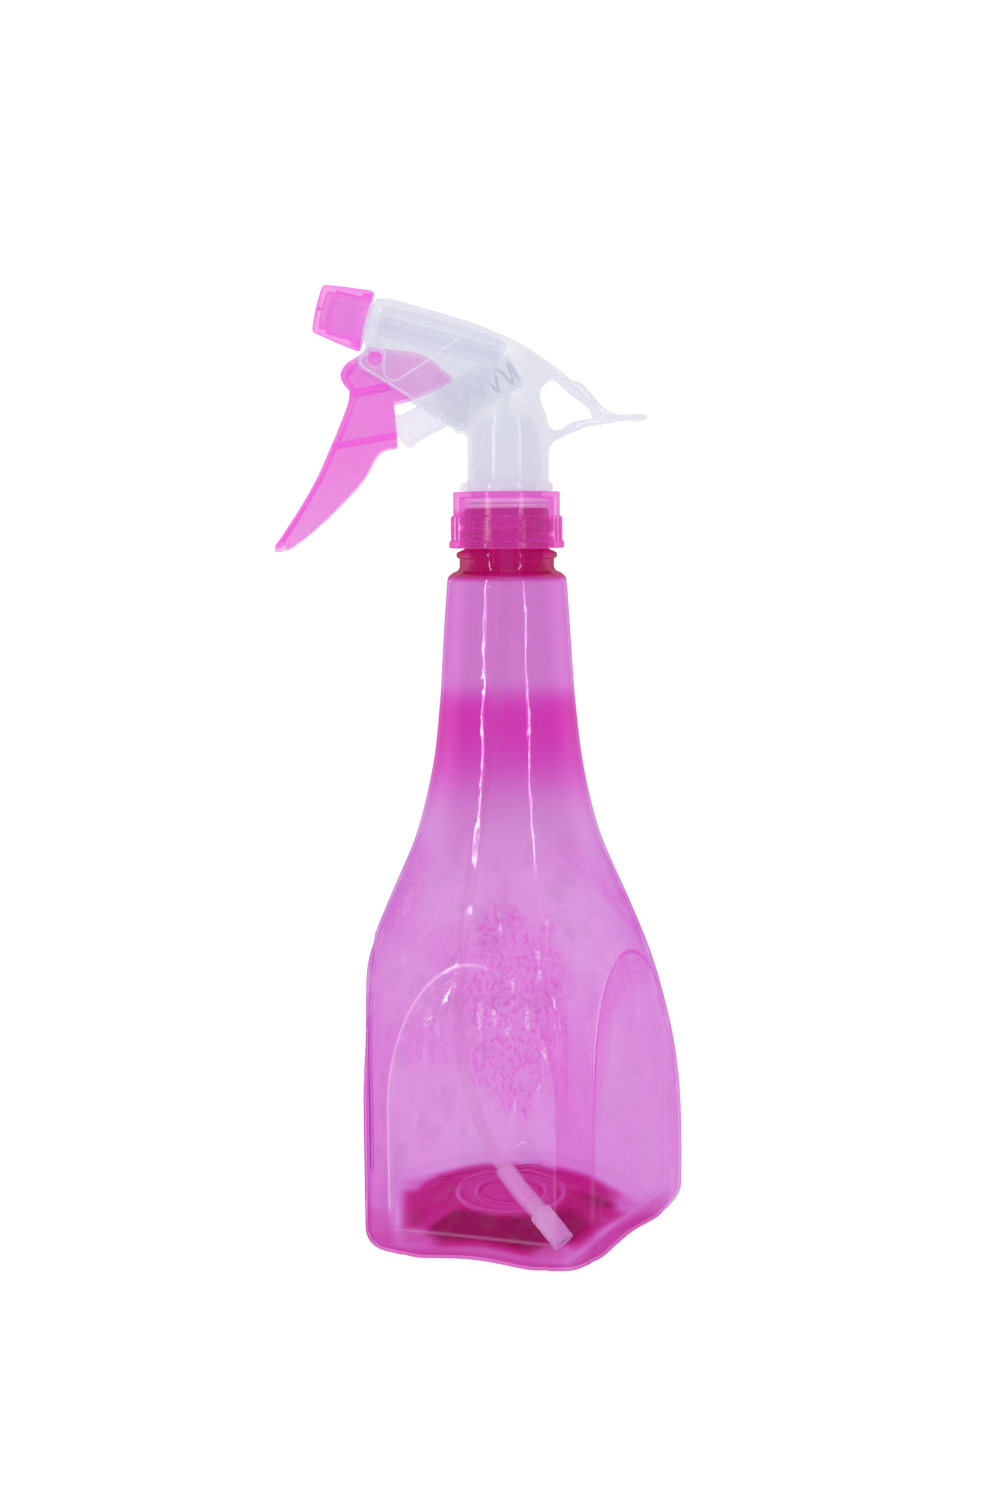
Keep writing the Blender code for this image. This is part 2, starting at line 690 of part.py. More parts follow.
def build_spinner():
    """Plug with three grooves along its side."""
    profile = [(0, 7.9), (3.7, 7.9), (3.7, 10.7), (2.4, 11.3), (0, 11.3)]
    plug = lathe("spinner", profile, NOZZLE, columns=24)
    drill_ring(plug, NOZZLE, count=3, first_degrees=30, ring_radius=3.7, hole_radius=0.75,
               low=7, high=13, columns=8)
    return plug


def build_nozzle_seal():
    profile = [(1.6, SEAL_REAR), (5.0, SEAL_REAR), (5.2, 13.1), (5.2, SEAL_FRONT),
               (1.6, SEAL_FRONT)]
    return lathe("nozzle_seal", profile, NOZZLE, columns=24, closed=True)


def build_nozzle_cap():
    profile = [
        (0.45, 15.9), (1.5, 16.5), (6.4, 16.4), (7.1, 15.7), (7.8, 11.0), (8.45, 6.0),
        (8.95, CAP_REAR), (8.1, CAP_REAR), (7.7, 4.2), (6.5, 4.6), (6.4, 12.0), (5.5, 12.4),
        (5.5, 14.65), (0.45, 14.65)]
    cap = lathe("nozzle_cap", profile, NOZZLE, columns=28, closed=True)
    return join(cap, thread(NOZZLE, root=6.45, crest=5.75,
                            first=BOSS_THREAD_START + CAP_THREAD_PITCH, turns=1.25,
                            phase=math.pi, **CAP_THREAD_SHAPE))


# ---------------------------------------------------------------- trigger

# (x, z) of the side view: down the front edge to the tip, then up the rear edge
TRIGGER_OUTLINE = [
    (-42.5, 262.6), (-46.5, 260.1), (-48.2, 257.4), (-48, 255.4), (-46, 253), (-45.7, 251.9),
    (-48.7, 242.6), (-51.4, 236.5), (-55.8, 227.2), (-61.4, 218), (-66.4, 210.7),
    (-68.5, 207.5), (-68.5, 206), (-65.5, 206.4), (-60.7, 209.3), (-54.4, 214.5),
    (-48.3, 220.3), (-41.8, 227.5), (-36.9, 235.1), (-32, 236.3), (-32.2, 240), (-32.5, 244.6),
    (-33, 249.1), (-28.5, 250.2), (-15.4, 255.7), (-21.8, 261), (-23.6, 262.3), (-33.9, 264.2),
    (-40, 265)]
# (x, z) of the hollow behind the front wall, open to the rear and top
TRIGGER_POCKET = [
    (-41.3, 270), (-41.3, 262.2), (-45.6, 259.1), (-46.8, 257.1), (-46.6, 255.8),
    (-44.8, 253.6), (-44.3, 252), (-47.3, 242.9), (-50.1, 237), (-54.5, 227.9), (-60, 219),
    (-64.8, 212), (-66.6, 209.2), (-62, 203), (-40, 215), (-25, 232), (-8, 248), (-8, 270)]
# (start, end) of the cross ribs, in XZ
TRIGGER_RIBS = [((-45.2, 252.0), (-35.1, 253.9)), ((-50.4, 236.9), (-32.35, 240.0))]


def blade_width(x, z):
    """Narrows down to the tip."""
    return 1.0 - 0.36 * smooth(236, 207, z)


def build_trigger():
    trigger = prism("trigger", TRIGGER_OUTLINE, TRIGGER_HALF_WIDTH, blade_width)
    cut(trigger, prism("pocket", TRIGGER_POCKET, TRIGGER_INNER_HALF, blade_width))
    for start, end in TRIGGER_RIBS:
        join(trigger, bar("rib", start, end, TRIGGER_RIB_THICKNESS, TRIGGER_RIB_HALF))
    for side in (-1, 1):
        join(trigger, rod("boss", HINGE, PIVOT_R, side * 7.2, side * HOUSING_HALF_WIDTH, 20))
    return trigger


# ---------------------------------------------------------------- intake

def tube_stretch(start, end):
    """The stretch of the tube's path between two distances back from its end."""
    path = spline(TUBE_POINTS, steps=2)
    pairs = list(zip(path, path[1:]))
    total = sum((after - before).length for before, after in pairs)
    stretch, run = [], 0.0
    for before, after in pairs:
        step = (after - before).length
        for mark in (total - start, total - end):
            if run < mark < run + step:
                stretch.append(before + (after - before) * ((mark - run) / step))
        run += step
        if total - start < run < total - end:
            stretch.append(after)
    return stretch


def filter_frame():
    """Z runs on along the tube's last stretch, from the path's end."""
    before, last = Vector(TUBE_POINTS[-2]), Vector(TUBE_POINTS[-1])
    return axis_frame(last, last - before)


def build_dip_tube():
    return pipe("dip_tube", tube_stretch(*TUBE_SPAN), TUBE_R, TUBE_BORE_R, sides=10)


def build_sleeve():
    return pipe("tube_sleeve", tube_stretch(*SLEEVE_SPAN), 2.9, TUBE_R + CLEARANCE, sides=12)


def build_filter():
    profile = [(1.3, -15.4), (2.0, -15.4), (2.0, -11.5), (2.9, -11.5), (3.4, -11.0), (3.4, 0.0),
               (2.75, 0.0), (2.75, -9.8), (1.3, -10.4)]
    return lathe("intake_filter", profile, filter_frame(), columns=24, closed=True)


def build_screen():
    disc = rod("filter_screen", filter_frame(), radius=2.4, low=-1.6, high=-0.7, columns=20)
    drill_ring(disc, filter_frame(), count=5, first_degrees=0, ring_radius=1.35,
               hole_radius=0.45, low=-3, high=1, columns=8)
    return disc


# ---------------------------------------------------------------- assembly

def main():
    clear_scene()
    pink_clear = material("pink_clear", colour=(0.68, 0.14, 0.60), roughness=0.08, alpha=0.5)
    pink = material("pink_moulded", colour=(0.86, 0.16, 0.66), roughness=0.3)
    collar_pink = material("collar_pink", colour=(0.80, 0.08, 0.45), roughness=0.25)
    milky = material("milky", colour=(0.72, 0.70, 0.80), roughness=0.38)
    white = material("white_plastic", colour=(0.80, 0.79, 0.82), roughness=0.4)
    rubber = material("seal_rubber", colour=(0.75, 0.73, 0.70), roughness=0.7)
    steel = material("steel", colour=(0.62, 0.62, 0.64), roughness=0.25, metallic=1.0)
    tube_clear = material("tube_clear", colour=(0.85, 0.70, 0.84), roughness=0.2)

    head_origin = (0, 0, CONNECTOR_FLANGE_TOP)
    collar_origin = (0, 0, 215)
    piston_origin = pump_point(PISTON_NOSE)
    cap_origin = nozzle_point(CAP_REAR)

    head = empty("head_lift_axis", head_origin)
    collar_axis = empty("collar_turn_axis", collar_origin, head)
    trigger_axis = empty("trigger_axis", PIVOT, head)
    piston_axis = empty("piston_axis", piston_origin, head)
    nozzle_slide = empty("nozzle_advance_axis", cap_origin, head)
    nozzle_turn = empty("nozzle_turn_axis", cap_origin, nozzle_slide)

    # (builder, material, origin, parent)
    pieces = [
        (build_bottle, pink_clear, (0, 0, 0), None),
        (build_housing, milky, head_origin, head),
        (build_connector, white, head_origin, head),
        (build_gasket, rubber, (0, 0, (GASKET_BOTTOM + GASKET_TOP) / 2), head),
        (build_ball_stop, white, (0, 0, 238.4), head),
        (build_ball, steel, (0, 0, BALL_Z), head),
        (build_dip_tube, tube_clear, TUBE_POINTS[0], head),
        (build_sleeve, tube_clear, TUBE_POINTS[-2], head),
        (build_filter, white, TUBE_POINTS[-1], head),
        (build_screen, white, TUBE_POINTS[-1], head),
        (build_spinner, white, nozzle_point(8), head),
        (build_return_spring, steel, pump_point(RETURN_SPRING_END), head),
        (build_discharge_valve, white, nozzle_point(3), head),
        (build_discharge_spring, steel, nozzle_point(DISCHARGE_SPRING_END), head),
        (build_collar, collar_pink, collar_origin, collar_axis),
        (build_trigger, pink, PIVOT, trigger_axis),
        (build_piston, white, piston_origin, piston_axis),
        (build_piston_seal, rubber, pump_point(0), piston_axis),
        (build_piston_wiper, rubber, pump_point(-4), piston_axis),
        (build_nozzle_seal, rubber, nozzle_point((SEAL_REAR + SEAL_FRONT) / 2), nozzle_slide),
        (build_nozzle_cap, pink, cap_origin, nozzle_turn),
    ]
    for build, surface, origin, parent in pieces:
        finish(build(), surface, origin, parent)


main()
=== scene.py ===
"""Looks of a hand mister: a five-sided bottle with a screw collar, a trigger sprayer and a dip tube.

Lengths are in millimetres, as in the frame's design; a piece is scaled by MM when it is finished.
Z is up and the nozzle points to -X. Shapes are drawn around the neck axis, which stands at
X = AXIS_X in the frame. Lathed profiles are lists of (radius, height along the axis), and
outlines seen from the side are lists of (x, z).
"""

import json
import math

import bmesh
import bpy
from mathutils import Matrix, Vector, noise

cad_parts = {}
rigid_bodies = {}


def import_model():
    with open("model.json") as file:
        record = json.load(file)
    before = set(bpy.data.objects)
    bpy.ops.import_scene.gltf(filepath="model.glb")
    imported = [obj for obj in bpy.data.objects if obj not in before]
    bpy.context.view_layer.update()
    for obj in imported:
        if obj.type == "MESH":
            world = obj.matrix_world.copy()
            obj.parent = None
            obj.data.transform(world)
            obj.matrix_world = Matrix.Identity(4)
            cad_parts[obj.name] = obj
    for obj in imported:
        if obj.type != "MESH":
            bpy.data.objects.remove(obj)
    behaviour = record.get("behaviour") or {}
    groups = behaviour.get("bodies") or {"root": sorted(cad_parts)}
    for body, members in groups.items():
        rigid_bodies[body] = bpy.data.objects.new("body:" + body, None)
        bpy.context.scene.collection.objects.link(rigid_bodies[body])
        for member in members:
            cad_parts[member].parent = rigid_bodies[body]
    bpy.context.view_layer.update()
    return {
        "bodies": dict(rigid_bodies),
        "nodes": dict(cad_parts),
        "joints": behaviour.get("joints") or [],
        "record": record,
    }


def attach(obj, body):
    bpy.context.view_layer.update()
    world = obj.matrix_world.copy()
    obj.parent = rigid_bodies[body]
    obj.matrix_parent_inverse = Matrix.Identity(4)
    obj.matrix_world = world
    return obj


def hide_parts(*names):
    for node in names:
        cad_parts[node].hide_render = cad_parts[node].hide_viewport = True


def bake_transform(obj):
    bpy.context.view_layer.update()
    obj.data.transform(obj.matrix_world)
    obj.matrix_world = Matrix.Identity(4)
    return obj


for old in list(bpy.data.objects):
    bpy.data.objects.remove(old, do_unlink=True)

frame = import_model()

MM = 0.001
AXIS_X = 7.3

# Bottle
SIDES = 5
SECTOR = 360 / SIDES
HALF_SECTOR = SECTOR / 2
FACE_APOTHEM = 44.7
CORNER_FILLET = 3.5
WALL = 0.95
# (height, radius) of the round bell that trims the five-sided prism
BELL = [(0, 54.4), (20, 54.3), (40, 53.2), (60, 50.0), (80, 44.6), (100, 36.8), (120, 28.2),
        (140, 23.1), (160, 20.5), (180, 19.1), (197, 17.9)]
BELL_BLEND = 2.0
PANEL_HALF_WIDTH = 24.4
PANEL_SPRING_Z = 46.0
PANEL_RISE = 42.8
PANEL_DEPTH = 0.7
FOOT_LIFT = 1.5
HEEL_RADIUS = 8.0
FACE_HEEL_RADIUS = 3.2
PUSH_UP = 5.4
BASE_RING_R = 16.9
NECK_TOP = 218.5
NECK_ROOT_R = 12.55
NECK_BORE_R = 10.85
NECK_STEM_R = 14.1
BEAD_R = 15.0
THREAD_CREST_R = 13.6
THREAD_PITCH = 4.233
THREAD_FIRST = 208.7
THREAD_HALF = 1.05

# Collar
COLLAR_BOTTOM = 206.8
COLLAR_TOP = 223.3
COLLAR_BAND_R = 15.85
COLLAR_RIB_R = 16.65
COLLAR_GROOVE_R = 16.1
COLLAR_FLANGE_R = 17.15
COLLAR_ROOT_R = 14.1
COLLAR_CREST_R = 12.95
COLLAR_HOLE_R = 10.4
COLLAR_RIBS = 32
RIB_LOW, RIB_HIGH = 208.7, 216.3

# Sprayer housing
HOUSING_HALF = 9.05
HOUSING_INNER = HOUSING_HALF - 1.2
SHANK_R = 12.0
SHANK_X = 0.6
FLANGE_R = 13.95
BARREL_R = 6.15
BORE_R = 5.0
BARREL_MOUTH = -6.0
CHAMBER_END = 18.5
BARREL_END = 19.7

# Axes in the XZ plane: a point, and the slope above level in degrees
PUMP_POINT = (-13.3, 250.0)
PUMP_ANGLE = math.radians(28.0)
NOZZLE_POINT = (-39.05, 272.3)
NOZZLE_ANGLE = math.radians(15.0)
PIVOT = (-38.2, 261.5)
PIVOT_R = 1.75

# Trigger
TRIGGER_HALF = 7.5
TRIGGER_INNER = TRIGGER_HALF - 1.1

# Nozzle cap
CAP_FRONT_R = 7.12
CAP_BACK_R = 8.95
CAP_SHOULDER = 15.2
CAP_SIDE = 13.6
CAP_SIDE_ROWS = 20
CAP_GROOVES = 16

# Dip tube
TUBE_R = 2.1
TUBE_BORE_R = 1.5
# (x, y, z) from the sprayer down to the bottle's corner
TUBE_PATH = [(0, 0, 230), (0, 0, 205), (-1, 0, 180), (-5, -1.5, 148), (-11, -4, 112),
             (-15.5, -8, 78), (-14.5, -14, 52), (-8.5, -20.5, 32), (0, -26, 19),
             (7, -31.5, 12), (13.6, -37.4, 5.2)]


# ---------------------------------------------------------------- mesh basics

def make(name, points, faces):
    builder = bmesh.new()
    verts = [builder.verts.new(point) for point in points]
    for face in faces:
        builder.faces.new([verts[i] for i in face])
    bmesh.ops.recalc_face_normals(builder, faces=builder.faces)
    mesh = bpy.data.meshes.new(name)
    builder.to_mesh(mesh)
    builder.free()
    obj = bpy.data.objects.new(name, mesh)
    bpy.context.scene.collection.objects.link(obj)
    return obj


def apply_modifiers(obj):
    bpy.context.view_layer.update()
    graph = bpy.context.evaluated_depsgraph_get()
    mesh = bpy.data.meshes.new_from_object(obj.evaluated_get(graph))
    obj.modifiers.clear()
    obj.data = mesh


def boolean(target, tool, operation):
    solid = target.modifiers.new("solid", "BOOLEAN")
    solid.operation = operation
    solid.solver = "EXACT"
    solid.object = tool
    apply_modifiers(target)
    bpy.data.objects.remove(tool, do_unlink=True)


def cut(target, tool):
    boolean(target, tool, "DIFFERENCE")


def join(target, tool):
    boolean(target, tool, "UNION")


def mould(obj, voxel, squeeze):
    """Rebuilds a solid with small even facets and softens its edges, as on a moulded piece.
    squeeze narrows it across its width, as a factor of x and z."""
    remesh = obj.modifiers.new("remesh", "REMESH")
    remesh.mode = "VOXEL"
    remesh.voxel_size = voxel
    remesh.adaptivity = 0.0
    soften = obj.modifiers.new("soften", "SMOOTH")
    soften.factor = 0.5
    soften.iterations = 7
    apply_modifiers(obj)
    for vertex in obj.data.vertices:
        vertex.co.y *= squeeze(vertex.co.x, vertex.co.z)
    return obj


def piece(obj, body, mat, slot, *nodes, sharp=None):
    """Scales a finished mesh to metres, shades it, and puts it on its body."""
    obj.data.transform(Matrix.Translation((AXIS_X * MM, 0, 0)) @ Matrix.Scale(MM, 4))
    obj.data.materials.clear()
    obj.data.materials.append(mat)
    for poly in obj.data.polygons:
        poly.material_index = 0
    obj.data.shade_smooth()
    if sharp:
        obj.data.set_sharp_from_angle(angle=math.radians(sharp))
    if body:
        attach(obj, body)
    if nodes:
        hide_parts(*nodes)
    return obj


# ---------------------------------------------------------------- axes

def to_3d(point):
    return (point[0], 0, point[1])


def axis_frame(origin, direction):
    """A frame with its origin at a point and its Z along a direction."""
    z = Vector(direction).normalized()
    hint = Vector((0, 1, 0)) if abs(z.y) < 0.9 else Vector((1, 0, 0))
    x = hint.cross(z).normalized()
    y = z.cross(x)
    return Matrix.Translation(Vector(origin)) @ Matrix((x, y, z)).transposed().to_4x4()


def turned(frame, degrees):
    """A frame turned about its own Z."""
    return frame @ Matrix.Rotation(math.radians(degrees), 4, "Z")


def in_frame(point):
    """A point (x, z) of the drawing, in the frame's metres."""
    return [(point[0] + AXIS_X) * MM, 0.0, point[1] * MM]


def point_on(line, along, right=0.0):
    """A point (x, z) along a line, or off it to the right of its heading as seen from -Y."""
    (x, z), (run, rise) = line
    return (x + along * run + right * rise, z + along * rise - right * run)


PUMP_LINE = (PUMP_POINT, (math.cos(PUMP_ANGLE), math.sin(PUMP_ANGLE)))
NOZZLE_LINE = (NOZZLE_POINT, (-math.cos(NOZZLE_ANGLE), math.sin(NOZZLE_ANGLE)))
PUMP = axis_frame(*map(to_3d, PUMP_LINE))
NOZZLE = axis_frame(*map(to_3d, NOZZLE_LINE))
HINGE = axis_frame(to_3d(PIVOT), (0, 1, 0))
UP = Matrix.Identity(4)


# ---------------------------------------------------------------- curves

def smooth(start, end, value):
    part = min(max((value - start) / (end - start), 0), 1)
    return part * part * (3 - 2 * part)


def smooth_min(first, second, width):
    near = max(width - abs(first - second), 0) / width
    return min(first, second) - near * near * width / 4


def hermite(start, end, start_slope, end_slope, part):
    """A cubic from start to end; part runs from 0 to 1 and the slopes are per unit of part."""
    return ((2 * part ** 3 - 3 * part * part + 1) * start
            + (part ** 3 - 2 * part * part + part) * start_slope
            + (-2 * part ** 3 + 3 * part * part) * end
            + (part ** 3 - part * part) * end_slope)


def value_on(table, at):
    """The height at `at` of a smooth curve through a table of (place, height)."""
    if at <= table[0][0]:
        return table[0][1]
    if at >= table[-1][0]:
        return table[-1][1]
    i = max(k for k in range(len(table) - 1) if table[k][0] <= at)
    x1, y1 = table[i]
    x2, y2 = table[i + 1]
    span = x2 - x1
    slope1 = slope2 = (y2 - y1) / span
    if i > 0:
        slope1 = (y2 - table[i - 1][1]) / (x2 - table[i - 1][0])
    if i + 2 < len(table):
        slope2 = (table[i + 2][1] - y1) / (table[i + 2][0] - x1)
    return hermite(y1, y2, span * slope1, span * slope2, (at - x1) / span)


def rounded(profile, radius, closed, steps=4):
    """A profile with its corners rounded. A rounding takes at most 0.45 of its shorter side."""
    out = []
    count = len(profile)
    for i, point in enumerate(profile):
        if not closed and i in (0, count - 1):
            out.append(point)
            continue
        corner = Vector(point)
        back = Vector(profile[i - 1]) - corner
        ahead = Vector(profile[(i + 1) % count]) - corner
        reach = min(radius, 0.45 * back.length, 0.45 * ahead.length)
        start = corner + back.normalized() * reach
        end = corner + ahead.normalized() * reach
        for k in range(steps + 1):
            part = k / steps
            bend = (start * (1 - part) ** 2 + corner * 2 * part * (1 - part)
                    + end * part * part)
            out.append((bend.x, bend.y))
    return out


def flowing(outline, steps=4, corner=50):
    """A closed outline with smooth curves between corners that turn over `corner` degrees."""
    points = [Vector(point) for point in outline]
    count = len(points)
    tangents = []
    for i in range(count):
        before, after = points[i] - points[i - 1], points[(i + 1) % count] - points[i]
        if math.degrees(before.angle(after)) > corner:
            tangents.append(None)
        else:
            tangents.append((before.normalized() + after.normalized()).normalized())
    out = []
    for i in range(count):
        j = (i + 1) % count
        start, end = points[i], points[j]
        span = (end - start).length
        start_slope = (tangents[i] or (end - start).normalized()) * span
        end_slope = (tangents[j] or (end - start).normalized()) * span
        for k in range(steps):
            spot = hermite(start, end, start_slope, end_slope, k / steps)
            out.append((spot.x, spot.y))
    return out


def spline(points, steps):
    """A Catmull-Rom curve through the points."""
    knots = [Vector(point) for point in points]
    knots = [2 * knots[0] - knots[1]] + knots + [2 * knots[-1] - knots[-2]]
    out = []
    for i in range(1, len(knots) - 2):
        before, start, end, after = knots[i - 1:i + 3]
        for k in range(steps):
            part = k / steps
            out.append(0.5 * ((2 * start) + (end - before) * part
                              + (2 * before - 5 * start + 4 * end - after) * part * part
                              + (3 * start - before - 3 * end + after) * part ** 3))
    out.append(knots[-2])
    return out


# ---------------------------------------------------------------- shapes

def ring_grid(rows, closed_rows, caps=True):
    """Joins rows of points into faces. A row of one point closes to a fan."""
    points, index = [], []
    for row in rows:
        index.append(range(len(points), len(points) + len(row)))
        points.extend(row)
    faces = []
    pairs = list(zip(index[:-1], index[1:]))
    if closed_rows:
        pairs.append((index[-1], index[0]))
    for low, high in pairs:
        count = max(len(low), len(high))
        for i in range(count):
            j = (i + 1) % count
            if len(low) == 1:
                faces.append((low[0], high[j], high[i]))
            elif len(high) == 1:
                faces.append((low[i], low[j], high[0]))
            else:
                faces.append((low[i], low[j], high[j], high[i]))
    if not closed_rows and caps:
        if len(index[0]) > 1:
            faces.append(tuple(reversed(index[0])))
        if len(index[-1]) > 1:
            faces.append(tuple(index[-1]))
    return points, faces


def lathe(name, profile, frame=UP, columns=96, closed=False, shape=None, fillet=0.0):
    """Turns a profile about a frame's Z. shape gives a radius from (radius, angle, height)."""
    if fillet:
        profile = rounded(profile, fillet, closed)
    rows = []
    for radius, height in profile:
        if radius < 1e-6:
            rows.append([frame @ Vector((0, 0, height))])
            continue
        ring = []
        for i in range(columns):
            angle = 2 * math.pi * i / columns
            reach = shape(radius, angle, height) if shape else radius
            ring.append(frame @ Vector((reach * math.cos(angle), reach * math.sin(angle), height)))
        rows.append(ring)
    return make(name, *ring_grid(rows, closed))


def rod(name, frame, radius, low, high, columns=48):
    return lathe(name, [(radius, low), (radius, high)], frame, columns)


def prism(name, outline, half):
    """A side outline made as thick as half on either side of the XZ plane."""
    near = [(x, -half, z) for x, z in outline]
    far = [(x, half, z) for x, z in outline]
    count = len(outline)
    faces = [tuple(range(count)), tuple(reversed(range(count, 2 * count)))]
    for i in range(count):
        j = (i + 1) % count
        faces.append((j, i, count + i, count + j))
    return make(name, near + far, faces)


def bar(name, start, end, thickness, half):
    run = Vector((end[0] - start[0], end[1] - start[1])).normalized() * thickness / 2
    x, z = -run[1], run[0]
    outline = [(start[0] + x, start[1] + z), (end[0] + x, end[1] + z),
               (end[0] - x, end[1] - z), (start[0] - x, start[1] - z)]
    return prism(name, outline, half)


def sweep_rings(path, radius, sides):
    """Rings of points round a path. radius is a number, or gives one from a point's index."""
    rings = []
    heading = (path[1] - path[0]).normalized()
    hint = Vector((0, 1, 0)) if abs(heading.y) < 0.9 else Vector((1, 0, 0))
    x = hint.cross(heading).normalized()
    for i, point in enumerate(path):
        heading = (path[min(i + 1, len(path) - 1)] - path[max(i - 1, 0)]).normalized()
        x = (x - heading * x.dot(heading)).normalized()
        y = heading.cross(x)
        reach = radius(i) if callable(radius) else radius
        angles = [2 * math.pi * k / sides for k in range(sides)]
        rings.append([point + reach * (x * math.cos(angle) + y * math.sin(angle))
                      for angle in angles])
    return rings


def pipe(name, path, outer, inner, sides):
    """A hollow pipe, slightly narrower outside at its two ends."""
    last = len(path) - 1

    def outside(i):
        return outer - (0.12 if i in (0, last) else 0)

    rows = sweep_rings(path, outside, sides) + list(reversed(sweep_rings(path, inner, sides)))
    return make(name, *ring_grid(rows, True))


def wire(name, path, radius, sides):
    """A thin round moulding along a path, tapering at its ends."""
    last = len(path) - 1

    def taper(i):
        return radius * min(1.0, 0.25 + i / 4, 0.25 + (last - i) / 4)

    return make(name, *ring_grid(sweep_rings(path, taper, sides), False))


def coil(name, frame, low, high, radius, thick, turns, per_turn, sides):
    """A compression spring with closely wound ends. thick is the wire's radius."""
    end_turns = 0.75
    end_pitch = thick * 2.25
    end_rise = end_pitch * end_turns
    path = []
    for i in range(turns * per_turn + 1):
        turn = i / per_turn
        if turn < end_turns:
            height = low + end_pitch * turn
        elif turn > turns - end_turns:
            height = high - end_pitch * (turns - turn)
        else:
            live = min(max((turn - end_turns) / (turns - 2 * end_turns), 0), 1)
            height = low + end_rise + (high - low - 2 * end_rise) * live
        angle = 2 * math.pi * turn
        path.append(frame @ Vector((radius * math.cos(angle), radius * math.sin(angle), height)))
    return make(name, *ring_grid(sweep_rings(path, thick, sides), False))


def ridge_height(angle, height, turns, phase):
    """0 to 1: how far a right-hand thread stands at this angle and height."""
    best = 0.0
    base = ((angle - phase) / (2 * math.pi)) % 1.0
    for k in range(int(turns) + 2):
        turn = base + k
        if turn > turns:
            continue
        fade = smooth(0, 0.08, turn) * smooth(0, 0.08, turns - turn)
        miss = abs(height - THREAD_FIRST - THREAD_PITCH * turn)
        best = max(best, fade * (1 - smooth(0.35 * THREAD_HALF, THREAD_HALF, miss)))
    return best


# ---------------------------------------------------------------- bottle

# Columns across one face: (from, to, count), in degrees off the middle of the face
FACE_COLUMNS = [(-36, -31, 6), (-31, -27, 8), (-27, 27, 32), (27, 31, 8), (31, 36, 6)]
# (angle, degrees off the middle of its face) of every column round the bottle
COLUMNS = [(HALF_SECTOR + SECTOR * k + off, off) for k in range(SIDES)
           for off in [start + (end - start) * i / count
                       for start, end, count in FACE_COLUMNS for i in range(count)]]


def prism_radius(off):
    """Radius of the five-sided prism with rounded corners."""
    turn = math.radians(abs(off))
    half = math.radians(HALF_SECTOR)
    if FACE_APOTHEM * math.tan(turn) <= (FACE_APOTHEM - CORNER_FILLET) * math.tan(half):
        return FACE_APOTHEM / math.cos(turn)
    centre = (FACE_APOTHEM - CORNER_FILLET) / math.cos(half)
    rest = half - turn
    return centre * math.cos(rest) + math.sqrt(CORNER_FILLET ** 2 - (centre * math.sin(rest)) ** 2)


def panel_depth(off, z):
    """Depth of the arched panel sunk in each face."""
    across = abs(FACE_APOTHEM * math.tan(math.radians(off)))
    if z > PANEL_SPRING_Z:
        arch = math.hypot(across / PANEL_HALF_WIDTH, (z - PANEL_SPRING_Z) / PANEL_RISE)
        inside = (1 - arch) * PANEL_HALF_WIDTH
    else:
        inside = PANEL_HALF_WIDTH - across
    return PANEL_DEPTH * smooth(-0.5, 1.1, inside) * smooth(8, 16, z)


PRISM = [prism_radius(off) for angle, off in COLUMNS]


def polar(radius, angle, z):
    turn = math.radians(angle)
    return Vector((radius * math.cos(turn), radius * math.sin(turn), z))


def wall_radii(z):
    """The outer radius at each column."""
    bell = value_on(BELL, z)
    return [smooth_min(bell, flat, BELL_BLEND) - panel_depth(off, z)
            for (angle, off), flat in zip(COLUMNS, PRISM)]


def waviness(angle, z, radius):
    """Small unevenness of a blown wall."""
    spot = polar(radius, angle, z)
    slow = noise.noise(Vector((spot.x * 0.045, spot.y * 0.045, z * 0.03)))
    fast = noise.noise(Vector((spot.x * 0.13 + 9, spot.y * 0.13, z * 0.075)))
    upright = smooth(18, 30, z) * (1 - smooth(190, 197, z))
    return (0.16 * slow + 0.045 * fast) * upright


def body_ring(z, wall):
    ring = []
    for (angle, off), full in zip(COLUMNS, wall_radii(z)):
        radius = full - wall
        radius += waviness(angle, z, radius)
        ring.append(polar(radius, angle, z))
    return ring


def base_height(share, off):
    """Height under the bottle; share is the radius as a share of the full one."""
    rim = FOOT_LIFT * (1 - smooth(0, 31, abs(off)))
    dome = PUSH_UP + 0.5 * (1 - min(share / 0.3, 1) ** 2)
    return dome + (rim - dome) * smooth(0.36, 0.72, share)


def gate_rings(radius):
    """Raised rings and the gate nub that the mould leaves under the base."""
    rings = (0.42 * math.exp(-((radius - BASE_RING_R) / 0.55) ** 2)
             + 0.34 * math.exp(-((radius - 9.6) / 0.5) ** 2))
    nub = 0.5 * math.exp(-(radius / 1.7) ** 2)
    return rings + nub


def base_rings(wall, shares):
    """Rows from the middle of the base, round at first and then following the faces."""
    relief = 1 if wall == 0 else 0.4
    rows = [[Vector((0, 0, base_height(0, HALF_SECTOR) + wall - gate_rings(0) * relief))]]
    radii = wall_radii(12)
    for share in shares:
        ring = []
        for (angle, off), full in zip(COLUMNS, radii):
            mix = smooth(0.4, 0.68, share)
            radius = share * (47.0 * (1 - mix) + (full - wall) * mix)
            z = base_height(radius / full, off) + wall - gate_rings(radius) * relief
            ring.append(polar(radius, angle, z))
        rows.append(ring)
    return rows


def heel_radius(off):
    """Tight along the middle of a face and full at the corners."""
    return FACE_HEEL_RADIUS + (HEEL_RADIUS - FACE_HEEL_RADIUS) * smooth(20, 35, abs(off))


